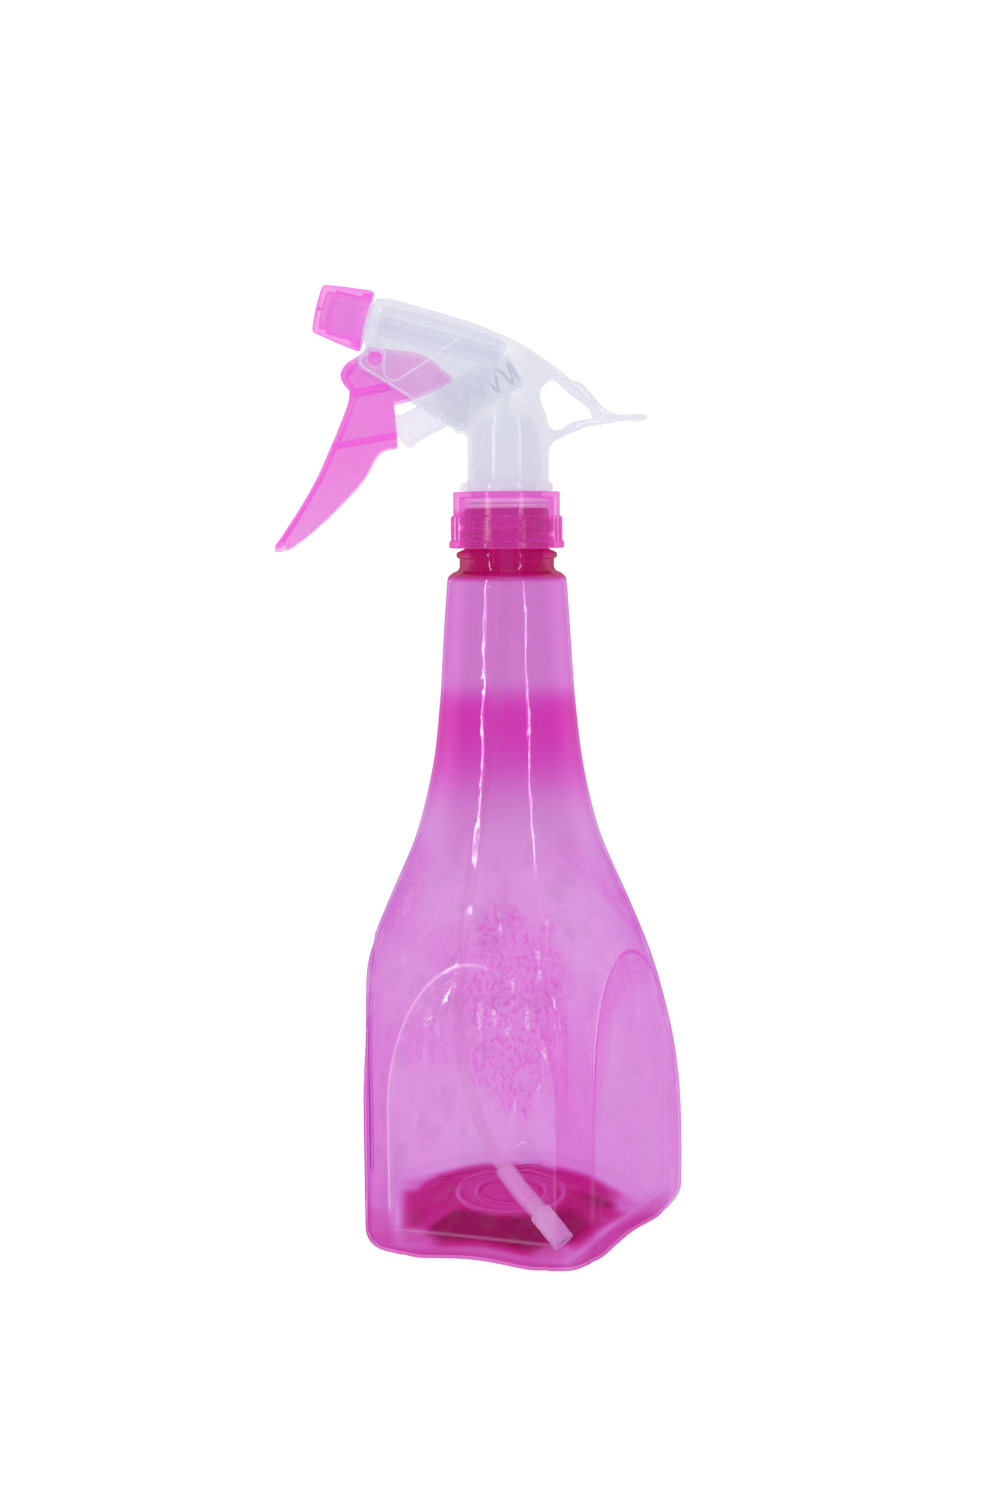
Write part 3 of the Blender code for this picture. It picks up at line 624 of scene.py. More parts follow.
def heel_rings(wall, tilts):
    rows = []
    radii = wall_radii(14)
    for tilt in tilts:
        lean = math.radians(tilt)
        ring = []
        for (angle, off), full in zip(COLUMNS, radii):
            heel = heel_radius(off) - wall
            radius = full - wall - heel * (1 - math.sin(lean))
            z = base_height(1, off) + wall + heel * (1 - math.cos(lean))
            ring.append(polar(radius, angle, z))
        rows.append(ring)
    return rows


def neck_ring(radius, z):
    return [polar(radius, angle, z) for angle, off in COLUMNS]


def thread_ring(z):
    depth = THREAD_CREST_R - NECK_ROOT_R
    return [polar(NECK_ROOT_R + depth * ridge_height(math.radians(angle), z, 1.5, 0.0), angle, z)
            for angle, off in COLUMNS]


def bottle_outside():
    shares = [0.04, 0.08, 0.12] + [0.15 + 0.0125 * i for i in range(20)]
    shares += [0.42 + 0.04 * i for i in range(9)] + [0.77, 0.8]
    rows = base_rings(0.0, shares)
    rows += heel_rings(0.0, [4, 12, 22, 33, 45, 57, 68, 79, 88])
    rows += [body_ring(14 + 1.25 * i, 0.0) for i in range(64)]
    rows += [body_ring(95 + 2.6 * i, 0.0) for i in range(39)]
    shoulder = [(17.98, 195.5), (17.75, 198.1), (16.2, 199.5), (14.6, 200.1),
                (NECK_STEM_R, 201.2), (NECK_STEM_R, 203.7), (BEAD_R, 203.95), (BEAD_R, 205.45),
                (NECK_STEM_R, 205.8), (NECK_ROOT_R, 206.5), (NECK_ROOT_R, 207.2)]
    rows += [neck_ring(*point) for point in rounded(shoulder, 0.7, False, 3)[1:]]
    rows += [thread_ring(207.5 + 0.3 * i) for i in range(34)]
    rows += [neck_ring(NECK_ROOT_R - inset, NECK_TOP - drop)
             for inset, drop in ((0, 0.6), (0.15, 0.2), (0.5, 0))]
    return rows


def bottle_inside():
    rows = base_rings(WALL, [0.08, 0.16, 0.2, 0.24, 0.3, 0.34, 0.37, 0.4, 0.46, 0.52, 0.58,
                             0.64, 0.7, 0.77, 0.8])
    rows += heel_rings(WALL, [12, 33, 57, 79])
    rows += [body_ring(14 + 3.1 * i, WALL) for i in range(26)]
    rows += [body_ring(95 + 6.2 * i, WALL) for i in range(17)]
    bore = [(17.0, 196.2), (15.4, 198.2), (13.2, 199.5), (NECK_BORE_R + 0.5, 201.0),
            (NECK_BORE_R, 204.0), (NECK_BORE_R, NECK_TOP - 0.4), (NECK_BORE_R + 0.3, NECK_TOP)]
    rows += [neck_ring(*point) for point in rounded(bore, 0.8, False, 2)]
    return rows


def build_bottle():
    rows = bottle_outside() + list(reversed(bottle_inside()))
    return make("bottle_shell", *ring_grid(rows, False, caps=False))


# ---------------------------------------------------------------- closure

def build_collar():
    def ribs(radius, angle, height):
        """The thread inside and the grip ribs outside."""
        if abs(radius - COLLAR_ROOT_R) < 1e-6 and height < 221.5:
            depth = COLLAR_ROOT_R - COLLAR_CREST_R
            return radius - depth * ridge_height(angle, height, 1.4, math.pi)
        if radius < 16.0 or height < RIB_LOW or height > RIB_HIGH:
            return radius
        phase = (angle * COLLAR_RIBS / (2 * math.pi)) % 1.0
        raised = smooth(0.0, 0.1, phase) * (1 - smooth(0.42, 0.52, phase))
        depth = COLLAR_RIB_R - COLLAR_GROOVE_R
        return radius - depth * (1 - raised) * smooth(RIB_LOW, RIB_LOW + 0.4, height)

    hole = [(COLLAR_HOLE_R, COLLAR_TOP), (COLLAR_HOLE_R, 221.8), (COLLAR_ROOT_R, 221.8),
            (COLLAR_ROOT_R, 221.2)]
    outside = [(COLLAR_ROOT_R, 208.2), (14.6, COLLAR_BOTTOM), (COLLAR_FLANGE_R, COLLAR_BOTTOM),
               (COLLAR_FLANGE_R, 208.75), (COLLAR_RIB_R, 209.0), (COLLAR_RIB_R, 215.9),
               (COLLAR_BAND_R, 216.35), (COLLAR_BAND_R, COLLAR_TOP),
               (COLLAR_HOLE_R + 0.4, COLLAR_TOP)]
    profile = rounded(hole, 0.25, False, 3)
    profile += [(COLLAR_ROOT_R, 221.0 - 0.34 * i) for i in range(37)]
    profile += rounded(outside, 0.3, False, 4)
    return lathe("screw_collar", profile, columns=COLLAR_RIBS * 12, closed=True, shape=ribs)


def build_gasket():
    profile = [(8.6, 218.8), (12.2, 218.8), (12.2, 219.8), (8.6, 219.8)]
    return lathe("gasket_ring", profile, columns=96, closed=True, fillet=0.25)


def build_connector():
    profile = [(2.4, 212.5), (3.7, 212.5), (3.7, 220.1), (12.5, 220.1), (12.5, 221.5),
               (8.1, 221.5), (8.1, 226.0), (4.6, 226.8), (4.6, 239.5), (3.3, 239.5),
               (3.3, 237.4), (2.6, 237.4), (2.6, 233.2), (1.4, 232.0), (1.4, 230.5),
               (2.4, 230.3)]
    return lathe("shank_plug", profile, columns=80, closed=True, fillet=0.3)


# ---------------------------------------------------------------- housing

HOUSING_OUTLINE = [
    (-37.4, 278.4), (-33.6, 278.2), (-27, 276.5), (-21, 274.8), (-14.7, 273), (-9, 271.2),
    (-5, 269.6), (-0.6, 267.8), (3, 266.1), (6.2, 264.3), (9, 262.4), (11.5, 260.7), (14, 259),
    (16.3, 257.3), (18.6, 255.4), (21.5, 254.5), (24.5, 251.6), (28.6, 247.3), (31.4, 245.9),
    (34, 245.5), (41, 245.4), (41.6, 244.7), (41, 244), (34.5, 244.1), (31.9, 243.5),
    (27.1, 242.9), (24.2, 242.5), (22.6, 241.8), (19.2, 240.4), (16.2, 238.9), (14, 237.9),
    (12.7, 236.5), (12, 234), (-10.9, 234), (-10.9, 238.4), (-11.2, 239.8), (-13, 241),
    (-14.5, 240.4), (-16.1, 242.5), (-26.3, 248.7), (-34.8, 254.1), (-42, 258.4),
    (-43, 259.4), (-43.2, 260.6), (-42.9, 262), (-41.3, 263.9)]
LOOP_HOLE = [
    (14.5, 256.4), (11.8, 254.8), (10, 253), (9.6, 251), (9.7, 249.3), (11.2, 245.8),
    (12.1, 242.2), (13.1, 241.2), (15.9, 241.2), (18.3, 242.9), (20.6, 243.6), (24.5, 244.3),
    (26.5, 244.6), (26, 245.6), (25.7, 247), (22.7, 249.9), (19.5, 252.2), (16.8, 254.8)]
CAVITY = [
    point_on(NOZZLE_LINE, -1.8, 4.6), (-26.8, 274.7), (-14.7, 271.3), (-5, 268), (0.5, 265.6),
    (-1.5, 262), (-6, 250), (-9.8, 243.6), (-15, 238), (-20, 233), (-50, 250), (-50, 268.8),
    point_on(NOZZLE_LINE, 3, -6.3), point_on(NOZZLE_LINE, -1.8, -6.3)]
# The line of a step moulded into each cheek, from the pivot down and back up to the spine.
CHEEK_LINE = [
    (-38.4, 264.6), (-36.4, 264.1), (-35.3, 262.6), (-35.6, 259.6), (-35.4, 256.8),
    (-33.9, 255.3), (-31.8, 255.4), (-27.5, 258.0), (-22.4, 261.2), (-17.2, 264.8),
    (-12.6, 268.2)]
# A line along each cheek's lower edge and round its front.
EDGE_LINE = [
    (-15.6, 243.0), (-22.0, 246.9), (-29.0, 251.2), (-36.0, 255.6), (-41.2, 258.8),
    (-42.3, 260.2), (-41.9, 262.0), (-40.6, 263.6)]


def tail_width(x, z):
    """The housing narrows toward its tail, at +X."""
    return 1.0 - 0.42 * smooth(9, 36, x) * smooth(238, 244, z)


def add_housing_parts(body):
    join(body, rod("barrel", PUMP, BARREL_R, BARREL_MOUTH, BARREL_END))
    join(body, rod("discharge", NOZZLE, 3.0, -38.0, -0.9, 32))
    shank = [(0, 223.9), (11.0, 223.9), (SHANK_R, 225.0), (SHANK_R, 237.5), (11.75, 241),
             (10.9, 245), (9.6, 248.4), (7.6, 251.8), (4.5, 254.3), (0, 255.2)]
    join(body, lathe("shank", shank, Matrix.Translation((SHANK_X, 0, 0))))
    flange = [(0, 221.9), (10.0, 221.9), (10.0, 223.6), (FLANGE_R, 223.6),
              (FLANGE_R - 0.2, 225.6), (FLANGE_R - 0.8, 226.1), (0, 226.1)]
    join(body, lathe("flange", flange))
    boss = [(0, -1.3), (7.0, -1.3), (7.3, -0.9), (7.3, 0.2), (5.4, 0.7), (5.4, 11.0),
            (5.0, 11.4), (0, 11.4)]
    join(body, lathe("boss", boss, turned(NOZZLE, 3), 64))


def cut_housing_ways(body):
    cut(body, rod("bore", PUMP, BORE_R, BARREL_MOUTH - 6, CHAMBER_END))
    chamber = [(0, 1.0), (1.5, 1.0), (2.7, 2.2), (4.0, 2.4), (4.0, 13), (0, 13)]
    cut(body, lathe("valve_chamber", chamber, turned(NOZZLE, 5), 40))
    cut(body, rod("discharge_way", turned(NOZZLE, 8), 1.15, -39.5, 1.9, 16))
    hollow = [(0, 220), (8.4, 220), (8.4, 226.3), (10.2, 228.3), (10.2, 238.0), (9.0, 242),
              (7.0, 245), (0, 245.4)]
    hollow_frame = turned(Matrix.Translation((0.2, 0, 0)), 4)
    cut(body, lathe("shank_hollow", hollow, hollow_frame, 64))
    join(body, rod("intake_boss", UP, 6.2, 236.6, 248, 40))
    cut(body, rod("intake_socket", UP, 4.9, 236, 240.2, 40))
    cut(body, rod("intake_way", UP, 1.2, 239, 253, 20))
    cut(body, rod("pivot_hole", HINGE, PIVOT_R + 0.3, -12, 12))


def build_housing():
    body = prism("housing_shell", flowing(HOUSING_OUTLINE, 3), HOUSING_HALF)
    cut(body, prism("cavity", CAVITY, HOUSING_INNER))
    cut(body, prism("loop", flowing(LOOP_HOLE, 3, 70), 20))
    add_housing_parts(body)
    cut_housing_ways(body)
    return mould(body, voxel=0.4, squeeze=tail_width)


def cheek_line(name, line, side):
    """A fine moulding on one cheek; side is -1 for the one at -Y."""
    path = []
    for point in spline([to_3d(spot) for spot in line], 6):
        y = side * (HOUSING_HALF * tail_width(point.x, point.z) - 0.02)
        path.append(Vector((point.x, y, point.z)))
    return wire(name, path, 0.22, 8)


# ---------------------------------------------------------------- pump

def build_piston():
    profile = [(0, -21.1), (2.6, -21.0), (4.4, -20.6), (5.2, -19.7), (5.2, -18.3),
               (4.6, -17.6), (4.6, -4.9), (4.1, -4.9), (4.1, -3.1), (4.5, -3.1), (4.5, -0.9),
               (3.9, -0.9), (3.9, 1.1), (4.4, 1.1), (4.4, 1.6), (3.5, 1.6), (3.5, -1.6),
               (0, -1.6)]
    return lathe("plunger", profile, PUMP, 72, fillet=0.35)


def build_piston_seal():
    profile = [(4.1, -0.7), (4.6, -0.7), (4.85, 0.8), (4.65, 0.9), (4.4, 0.2), (4.1, 0.2)]
    return lathe("cup_seal", profile, PUMP, 72, closed=True, fillet=0.1)


def build_piston_wiper():
    profile = [(4.3, -4.6), (4.7, -4.6), (4.85, -4.0), (4.7, -3.4), (4.3, -3.4)]
    return lathe("wiper_ring", profile, PUMP, 72, closed=True, fillet=0.12)


def build_pump_spring():
    return coil("pump_spring", PUMP, low=-0.8, high=17.8, radius=2.9, thick=0.42,
                turns=5, per_turn=36, sides=12)


# ---------------------------------------------------------------- nozzle

def build_valve():
    profile = [(0, 1.3), (1.35, 1.3), (2.5, 2.45), (3.4, 2.8), (3.4, 3.9), (1.0, 3.9),
               (1.0, 5.2), (0, 5.2)]
    return lathe("outlet_poppet", profile, NOZZLE, 48, fillet=0.15)


def build_outlet_spring():
    return coil("outlet_spring", NOZZLE, low=4.45, high=7.3, radius=1.75, thick=0.22,
                turns=4, per_turn=28, sides=10)


def build_spinner():
    def grooves(radius, angle, height):
        """Three grooves along the plug's side."""
        if radius < 2.2:
            return radius
        phase = (angle / (2 * math.pi) * 3 + 0.25) % 1.0
        return radius - 0.7 * (1 - smooth(0.0, 0.07, abs(phase - 0.5)))

    profile = [(0, 7.9), (3.7, 7.9), (3.7, 10.7), (2.4, 11.3), (0, 11.3)]
    return lathe("swirl_plug", profile, NOZZLE, 72, shape=grooves, fillet=0.2)


def build_nozzle_seal():
    profile = [(1.6, 12.9), (5.0, 12.9), (5.2, 13.1), (5.2, 14.3), (1.6, 14.3)]
    return lathe("nozzle_washer", profile, NOZZLE, 64, closed=True, fillet=0.2)


def build_nozzle_cap():
    """A tapered cap with a slightly crowned front, a fine hole and shallow grooves."""
    def grooves(radius, angle, height):
        if radius < 6.9 or height < 2.2 or height > CAP_SHOULDER:
            return radius
        phase = (angle * CAP_GROOVES / (2 * math.pi)) % 1.0
        fade = smooth(2.2, 3.4, height) * (1 - smooth(13.6, CAP_SHOULDER, height))
        return radius - 0.16 * fade * (1 - smooth(0.03, 0.12, abs(phase - 0.5)))

    def side_radius(height):
        down = CAP_SHOULDER - height
        taper = (CAP_BACK_R - CAP_FRONT_R) * down / CAP_SIDE
        return CAP_FRONT_R + taper + 0.12 * math.sin(math.pi * down / CAP_SIDE)

    front = [(0.45, 14.65), (0.45, 16.3), (1.1, 16.55), (4.0, 16.5), (6.6, 16.25), (7.1, 15.5),
             (CAP_FRONT_R, CAP_SHOULDER)]
    heights = [CAP_SHOULDER - CAP_SIDE / CAP_SIDE_ROWS * i for i in range(1, CAP_SIDE_ROWS)]
    inside = [(CAP_BACK_R, 1.6), (8.3, 1.5), (8.0, 1.9), (7.8, 4.2), (6.5, 4.7), (6.45, 12.0),
              (5.5, 12.4), (5.5, 14.65), (0.9, 14.65)]
    profile = rounded(front, 0.4, False, 4)
    profile += [(side_radius(height), height) for height in heights]
    profile += rounded(inside, 0.3, False, 3)[1:]
    return lathe("spray_cap", profile, NOZZLE, 192, closed=True, shape=grooves)


# ---------------------------------------------------------------- trigger

TRIGGER_OUTLINE = [
    (-42.5, 262.6), (-46.5, 260.1), (-48.2, 257.4), (-48, 255.4), (-46, 253), (-45.7, 251.9),
    (-48.7, 242.6), (-51.4, 236.5), (-55.8, 227.2), (-61.4, 218), (-66.4, 210.7),
    (-68.5, 207.5), (-68.5, 206), (-65.5, 206.4), (-60.7, 209.3), (-54.4, 214.5),
    (-48.3, 220.3), (-41.8, 227.5), (-36.9, 235.1), (-32, 236.3), (-32.2, 240),
    (-32.5, 244.6), (-33, 249.1), (-28.5, 250.2), (-15.4, 255.7), (-21.8, 261),
    (-23.6, 262.3), (-33.9, 264.2), (-40, 265)]
TRIGGER_POCKET = [
    (-41.3, 270), (-41.3, 262.2), (-45.6, 259.1), (-46.8, 257.1), (-46.6, 255.8),
    (-44.8, 253.6), (-44.3, 252), (-47.3, 242.9), (-50.1, 237), (-54.5, 227.9), (-60, 219),
    (-64.8, 212), (-66.6, 209.2), (-62, 203), (-40, 215), (-25, 232), (-8, 248), (-8, 270)]
# The middle of the trigger's front wall, where it is seen end on
TRIGGER_FRONT = [
    (-45.6, 259.6), (-47.4, 257.2), (-47.2, 255.6), (-45.2, 253.2), (-45.0, 252.0),
    (-48.1, 242.5), (-51.0, 236.5), (-55.4, 227.3), (-61.0, 218.3), (-67.6, 208.0)]
RIB_TOP = ((-45.2, 252.0), (-35.1, 253.9))
RIB_PUSH = ((-50.4, 236.9), (-32.35, 240.0))


def blade_width(x, z):
    """The blade narrows toward its tip."""
    return 1.0 - 0.36 * smooth(236, 207, z)


def build_trigger():
    trigger = prism("trigger_lever", flowing(TRIGGER_OUTLINE, 4, 45), TRIGGER_HALF)
    cut(trigger, prism("pocket", flowing(TRIGGER_POCKET, 3, 40), TRIGGER_INNER))
    join(trigger, bar("rib_top", *RIB_TOP, 1.3, 7.0))
    join(trigger, bar("rib_push", *RIB_PUSH, 1.3, 7.0))
    for side in (-1, 1):
        join(trigger, rod("boss", HINGE, PIVOT_R, side * 7.2, side * HOUSING_HALF))
    return mould(trigger, voxel=0.36, squeeze=blade_width)


# ---------------------------------------------------------------- intake

TUBE_LINE = spline(TUBE_PATH, 10)


def tube_between(start, end):
    """The part of the tube's line between two distances from its lower end."""
    steps = list(zip(TUBE_LINE, TUBE_LINE[1:]))
    total = sum((after - before).length for before, after in steps)
    out, run = [], 0.0
    for before, after in steps:
        step = (after - before).length
        for mark in (total - start, total - end):
            if run < mark < run + step:
                out.append(before + (after - before) * ((mark - run) / step))
        run += step
        if total - start < run < total - end:
            out.append(after)
    return out


def build_tube():
    # The start lies beyond the line's length, so the tube runs from its top.
    return pipe("suction_tube", tube_between(400, 16.5), TUBE_R, TUBE_BORE_R, 28)


def build_sleeve():
    return pipe("tube_end_sleeve", tube_between(28.5, 11.9), 2.9, TUBE_R + 0.3, 32)


def build_filter():
    """A cup at the tube's lower end: a narrow sleeve, then a body with two shallow grooves."""
    before, end = Vector(TUBE_PATH[-2]), Vector(TUBE_PATH[-1])
    profile = [(1.3, -15.4), (2.0, -15.4), (2.0, -11.5), (2.9, -11.5), (3.4, -11.0),
               (3.4, -3.3), (3.2, -3.1), (3.2, -2.7), (3.4, -2.5), (3.4, -1.9), (3.2, -1.7),
               (3.2, -1.3), (3.4, -1.1), (3.4, 0.0), (2.75, 0.0), (2.75, -9.8), (1.3, -10.4)]
    return lathe("filter_cup", profile, axis_frame(end, end - before), 64, closed=True,
                 fillet=0.15)


# ---------------------------------------------------------------- shader graphs

class Link:
    """A node's output. Arithmetic on it adds math nodes to its graph."""

    def __init__(self, graph, socket):
        self.graph = graph
        self.socket = socket

    def math(self, operation, *others, clamp=False):
        return self.graph.math(operation, self, *others, clamp=clamp)

    def __add__(self, other):
        return self.math("ADD", other)

    def __sub__(self, other):
        return self.math("SUBTRACT", other)

    def __rsub__(self, other):
        return self.graph.math("SUBTRACT", other, self)

    def __mul__(self, other):
        return self.math("MULTIPLY", other)

    def __truediv__(self, other):
        return self.math("DIVIDE", other)

    def __pow__(self, other):
        return self.math("POWER", other)

    def __abs__(self):
        return self.math("ABSOLUTE")

    def max(self, other):
        return self.math("MAXIMUM", other)

    def line(self, slope, offset, clamp=False):
        """slope * this + offset, in one node."""
        return self.math("MULTIPLY_ADD", slope, offset, clamp=clamp)

    def ramp(self, start, end, low=0.0, high=1.0):
        """A smooth step from low at start to high at end. start may be the larger."""
        return self.graph.value("MapRange", {"Value": self, "From Min": start, "From Max": end,
                                             "To Min": low, "To Max": high},
                                output="Result", interpolation_type="SMOOTHSTEP")

    def peak(self, centre, half):
        """1 at the centre, 0 from half on either side."""
        return abs(self - centre).ramp(half, 0.0)

    def parts(self):
        return self.graph.links("SeparateXYZ", 0, 1, 2, inputs={0: self})

    def vector(self, operation, other):
        return self.graph.value("VectorMath", {0: self, 1: other}, operation=operation)

    def noise(self, scale, detail=3.0, rough=0.5, stretch=None):
        place = self.vector("MULTIPLY", stretch) if stretch else self
        return self.graph.value("TexNoise", {"Vector": place, "Scale": scale, "Detail": detail,
                                             "Roughness": rough}, output="Fac")

    def mix(self, first, second):
        """A colour between two, by this factor."""
        return self.graph.value("Mix", {0: self, 6: first, 7: second}, output=2,
                                data_type="RGBA", clamp_factor=True)

    def bump(self, distance, strength):
        """A normal from this height, with its distance in millimetres."""
        return self.graph.value("Bump", {"Height": self, "Distance": distance * MM,
                                         "Strength": strength}, output="Normal")


class Graph:
    """Adds nodes to a tree. Inputs may be numbers, tuples or Links."""

    def __init__(self, tree):
        self.tree = tree

    def feed(self, socket, value):
        if isinstance(value, Link):
            self.tree.links.new(value.socket, socket)
        elif socket.type == "RGBA":
            socket.default_value = (*value, 1.0)
        else:
            socket.default_value = value

    def links(self, kind, *outputs, inputs=None, **settings):
        """The named outputs of a new node."""
        node = self.tree.nodes.new("ShaderNode" + kind)
        for key, value in settings.items():
            setattr(node, key, value)
        for key, value in (inputs or {}).items():
            self.feed(node.inputs[key], value)
        return [Link(self, node.outputs[key]) for key in outputs]

    def value(self, kind, inputs=None, output=0, **settings):
        return self.links(kind, output, inputs=inputs, **settings)[0]

    def math(self, operation, first, second=0.0, third=0.0, clamp=False):
        return self.value("Math", {0: first, 1: second, 2: third},
                          operation=operation, use_clamp=clamp)


class Material(Graph):
    """A new node material."""

    def __init__(self, name):
        self.mat = bpy.data.materials.new(name)
        self.mat.use_nodes = True
        super().__init__(self.mat.node_tree)
        self.tree.nodes.clear()
        self.out = self.tree.nodes.new("ShaderNodeOutputMaterial")

    def place(self):
        """The point in the drawing's millimetres, whatever body the piece rides on."""
        coord = self.value("TexCoord", output="Object")
        coord = self.value("VectorMath", {0: coord, "Scale": 1 / MM}, operation="SCALE")
        return coord.vector("SUBTRACT", (AXIS_X, 0, 0))

    def facing(self):
        """0 where the surface faces the eye, 1 at its edge."""
        return self.value("LayerWeight", {"Blend": 0.5}, output="Facing")

    def blend(self, factor, first, second):
        return self.value("MixShader", {0: factor, 1: first, 2: second})

    def glow(self, colour, **diffuse_only):
        """Light scattered half back and half through. A Normal serves both parts."""
        both = {key: diffuse_only[key] for key in diffuse_only if key == "Normal"}
        diffuse = self.value("BsdfDiffuse", {"Color": colour, **diffuse_only})
        through = self.value("BsdfTranslucent", {"Color": colour, **both})
        return self.blend(0.5, diffuse, through)

    def clear(self, colour):
        return self.value("BsdfTransparent", {"Color": colour})

    def shine(self, rough, normal):
        return self.value("BsdfGlossy", {"Color": (1, 1, 1), "Roughness": rough,
                                         "Normal": normal})

    def emit(self, strength):
        return self.value("Emission", {"Color": (1, 1, 1), "Strength": strength})

    def let_light_in(self, surface, amount, tint):
        """Lets indirect and shadow rays pass more freely, as scattered light would in thin
        plastic."""
        shadow, diffuse = self.links("LightPath", "Is Shadow Ray", "Is Diffuse Ray")
        return self.blend(shadow.max(diffuse) * amount, surface, self.clear(tint))

    def done(self, surface):
        self.feed(self.out.inputs["Surface"], surface)
        return self.mat


def length(x, y):
    return (x * x + y * y).math("SQRT")


# ---------------------------------------------------------------- bottle material

# What each dye takes from (red, green, blue). LIGHT_DYE also carries painted shade lines, THICK_DYE
# painted light and shade rings on the floor, and SHADE_DYE painted shade on the floor's front.
BASE_DYE = (0.100, 0.300, 0.090)
LIGHT_DYE = (0.0, 1.08, 0.20)
THICK_DYE = (0.115, 1.02, 0.42)
SHADE_DYE = (0.26, 0.30, 0.32)


def dyed(mat, along, *dyes):
    """What a wall lets through: exp(-along * (base dye + each dye's colour by its amount))."""
    channels = {}
    for i, amount in enumerate(BASE_DYE):
        for colour, density in dyes:
            amount = density.line(colour[i], amount)
        channels[i] = (amount * along * -1.0).math("EXPONENT")
    return mat.value("CombineColor", channels)


def drop_patch(place, z):
    """Where fine drops cling: a large patch on the face at -Y, and stray ones all round."""
    here = place.vector("SUBTRACT", (-2.0, -46.0, 84.0))
    here = here.vector("MULTIPLY", (1 / 17, 1 / 14, 1 / 36))
    far = place.graph.value("VectorMath", {0: here}, output="Value", operation="LENGTH")
    ragged = far + place.noise(0.09, rough=0.6).line(1.6, -0.8)
    main = ragged.ramp(1.15, 0.8)
    stray = (place.noise(0.028, detail=1.0).ramp(0.52, 0.66)
             * z.ramp(42.0, 66.0) * z.ramp(132.0, 108.0) * 0.55)
    return main.max(stray)


def floor_ring_light_and_shade(radius):
    """Painted light and painted shade in rings on the floor, over the relief under the base."""
    return (radius.peak(BASE_RING_R, 1.1) * -0.5 + radius.peak(15.2, 0.9) * 0.2
            + radius.peak(9.4, 1.3) * 0.4 + radius.peak(11.0, 0.9) * -0.3
            + radius.peak(0.0, 2.0) * 0.3 + radius.ramp(15.0, 19.0, low=-0.2, high=0.12))


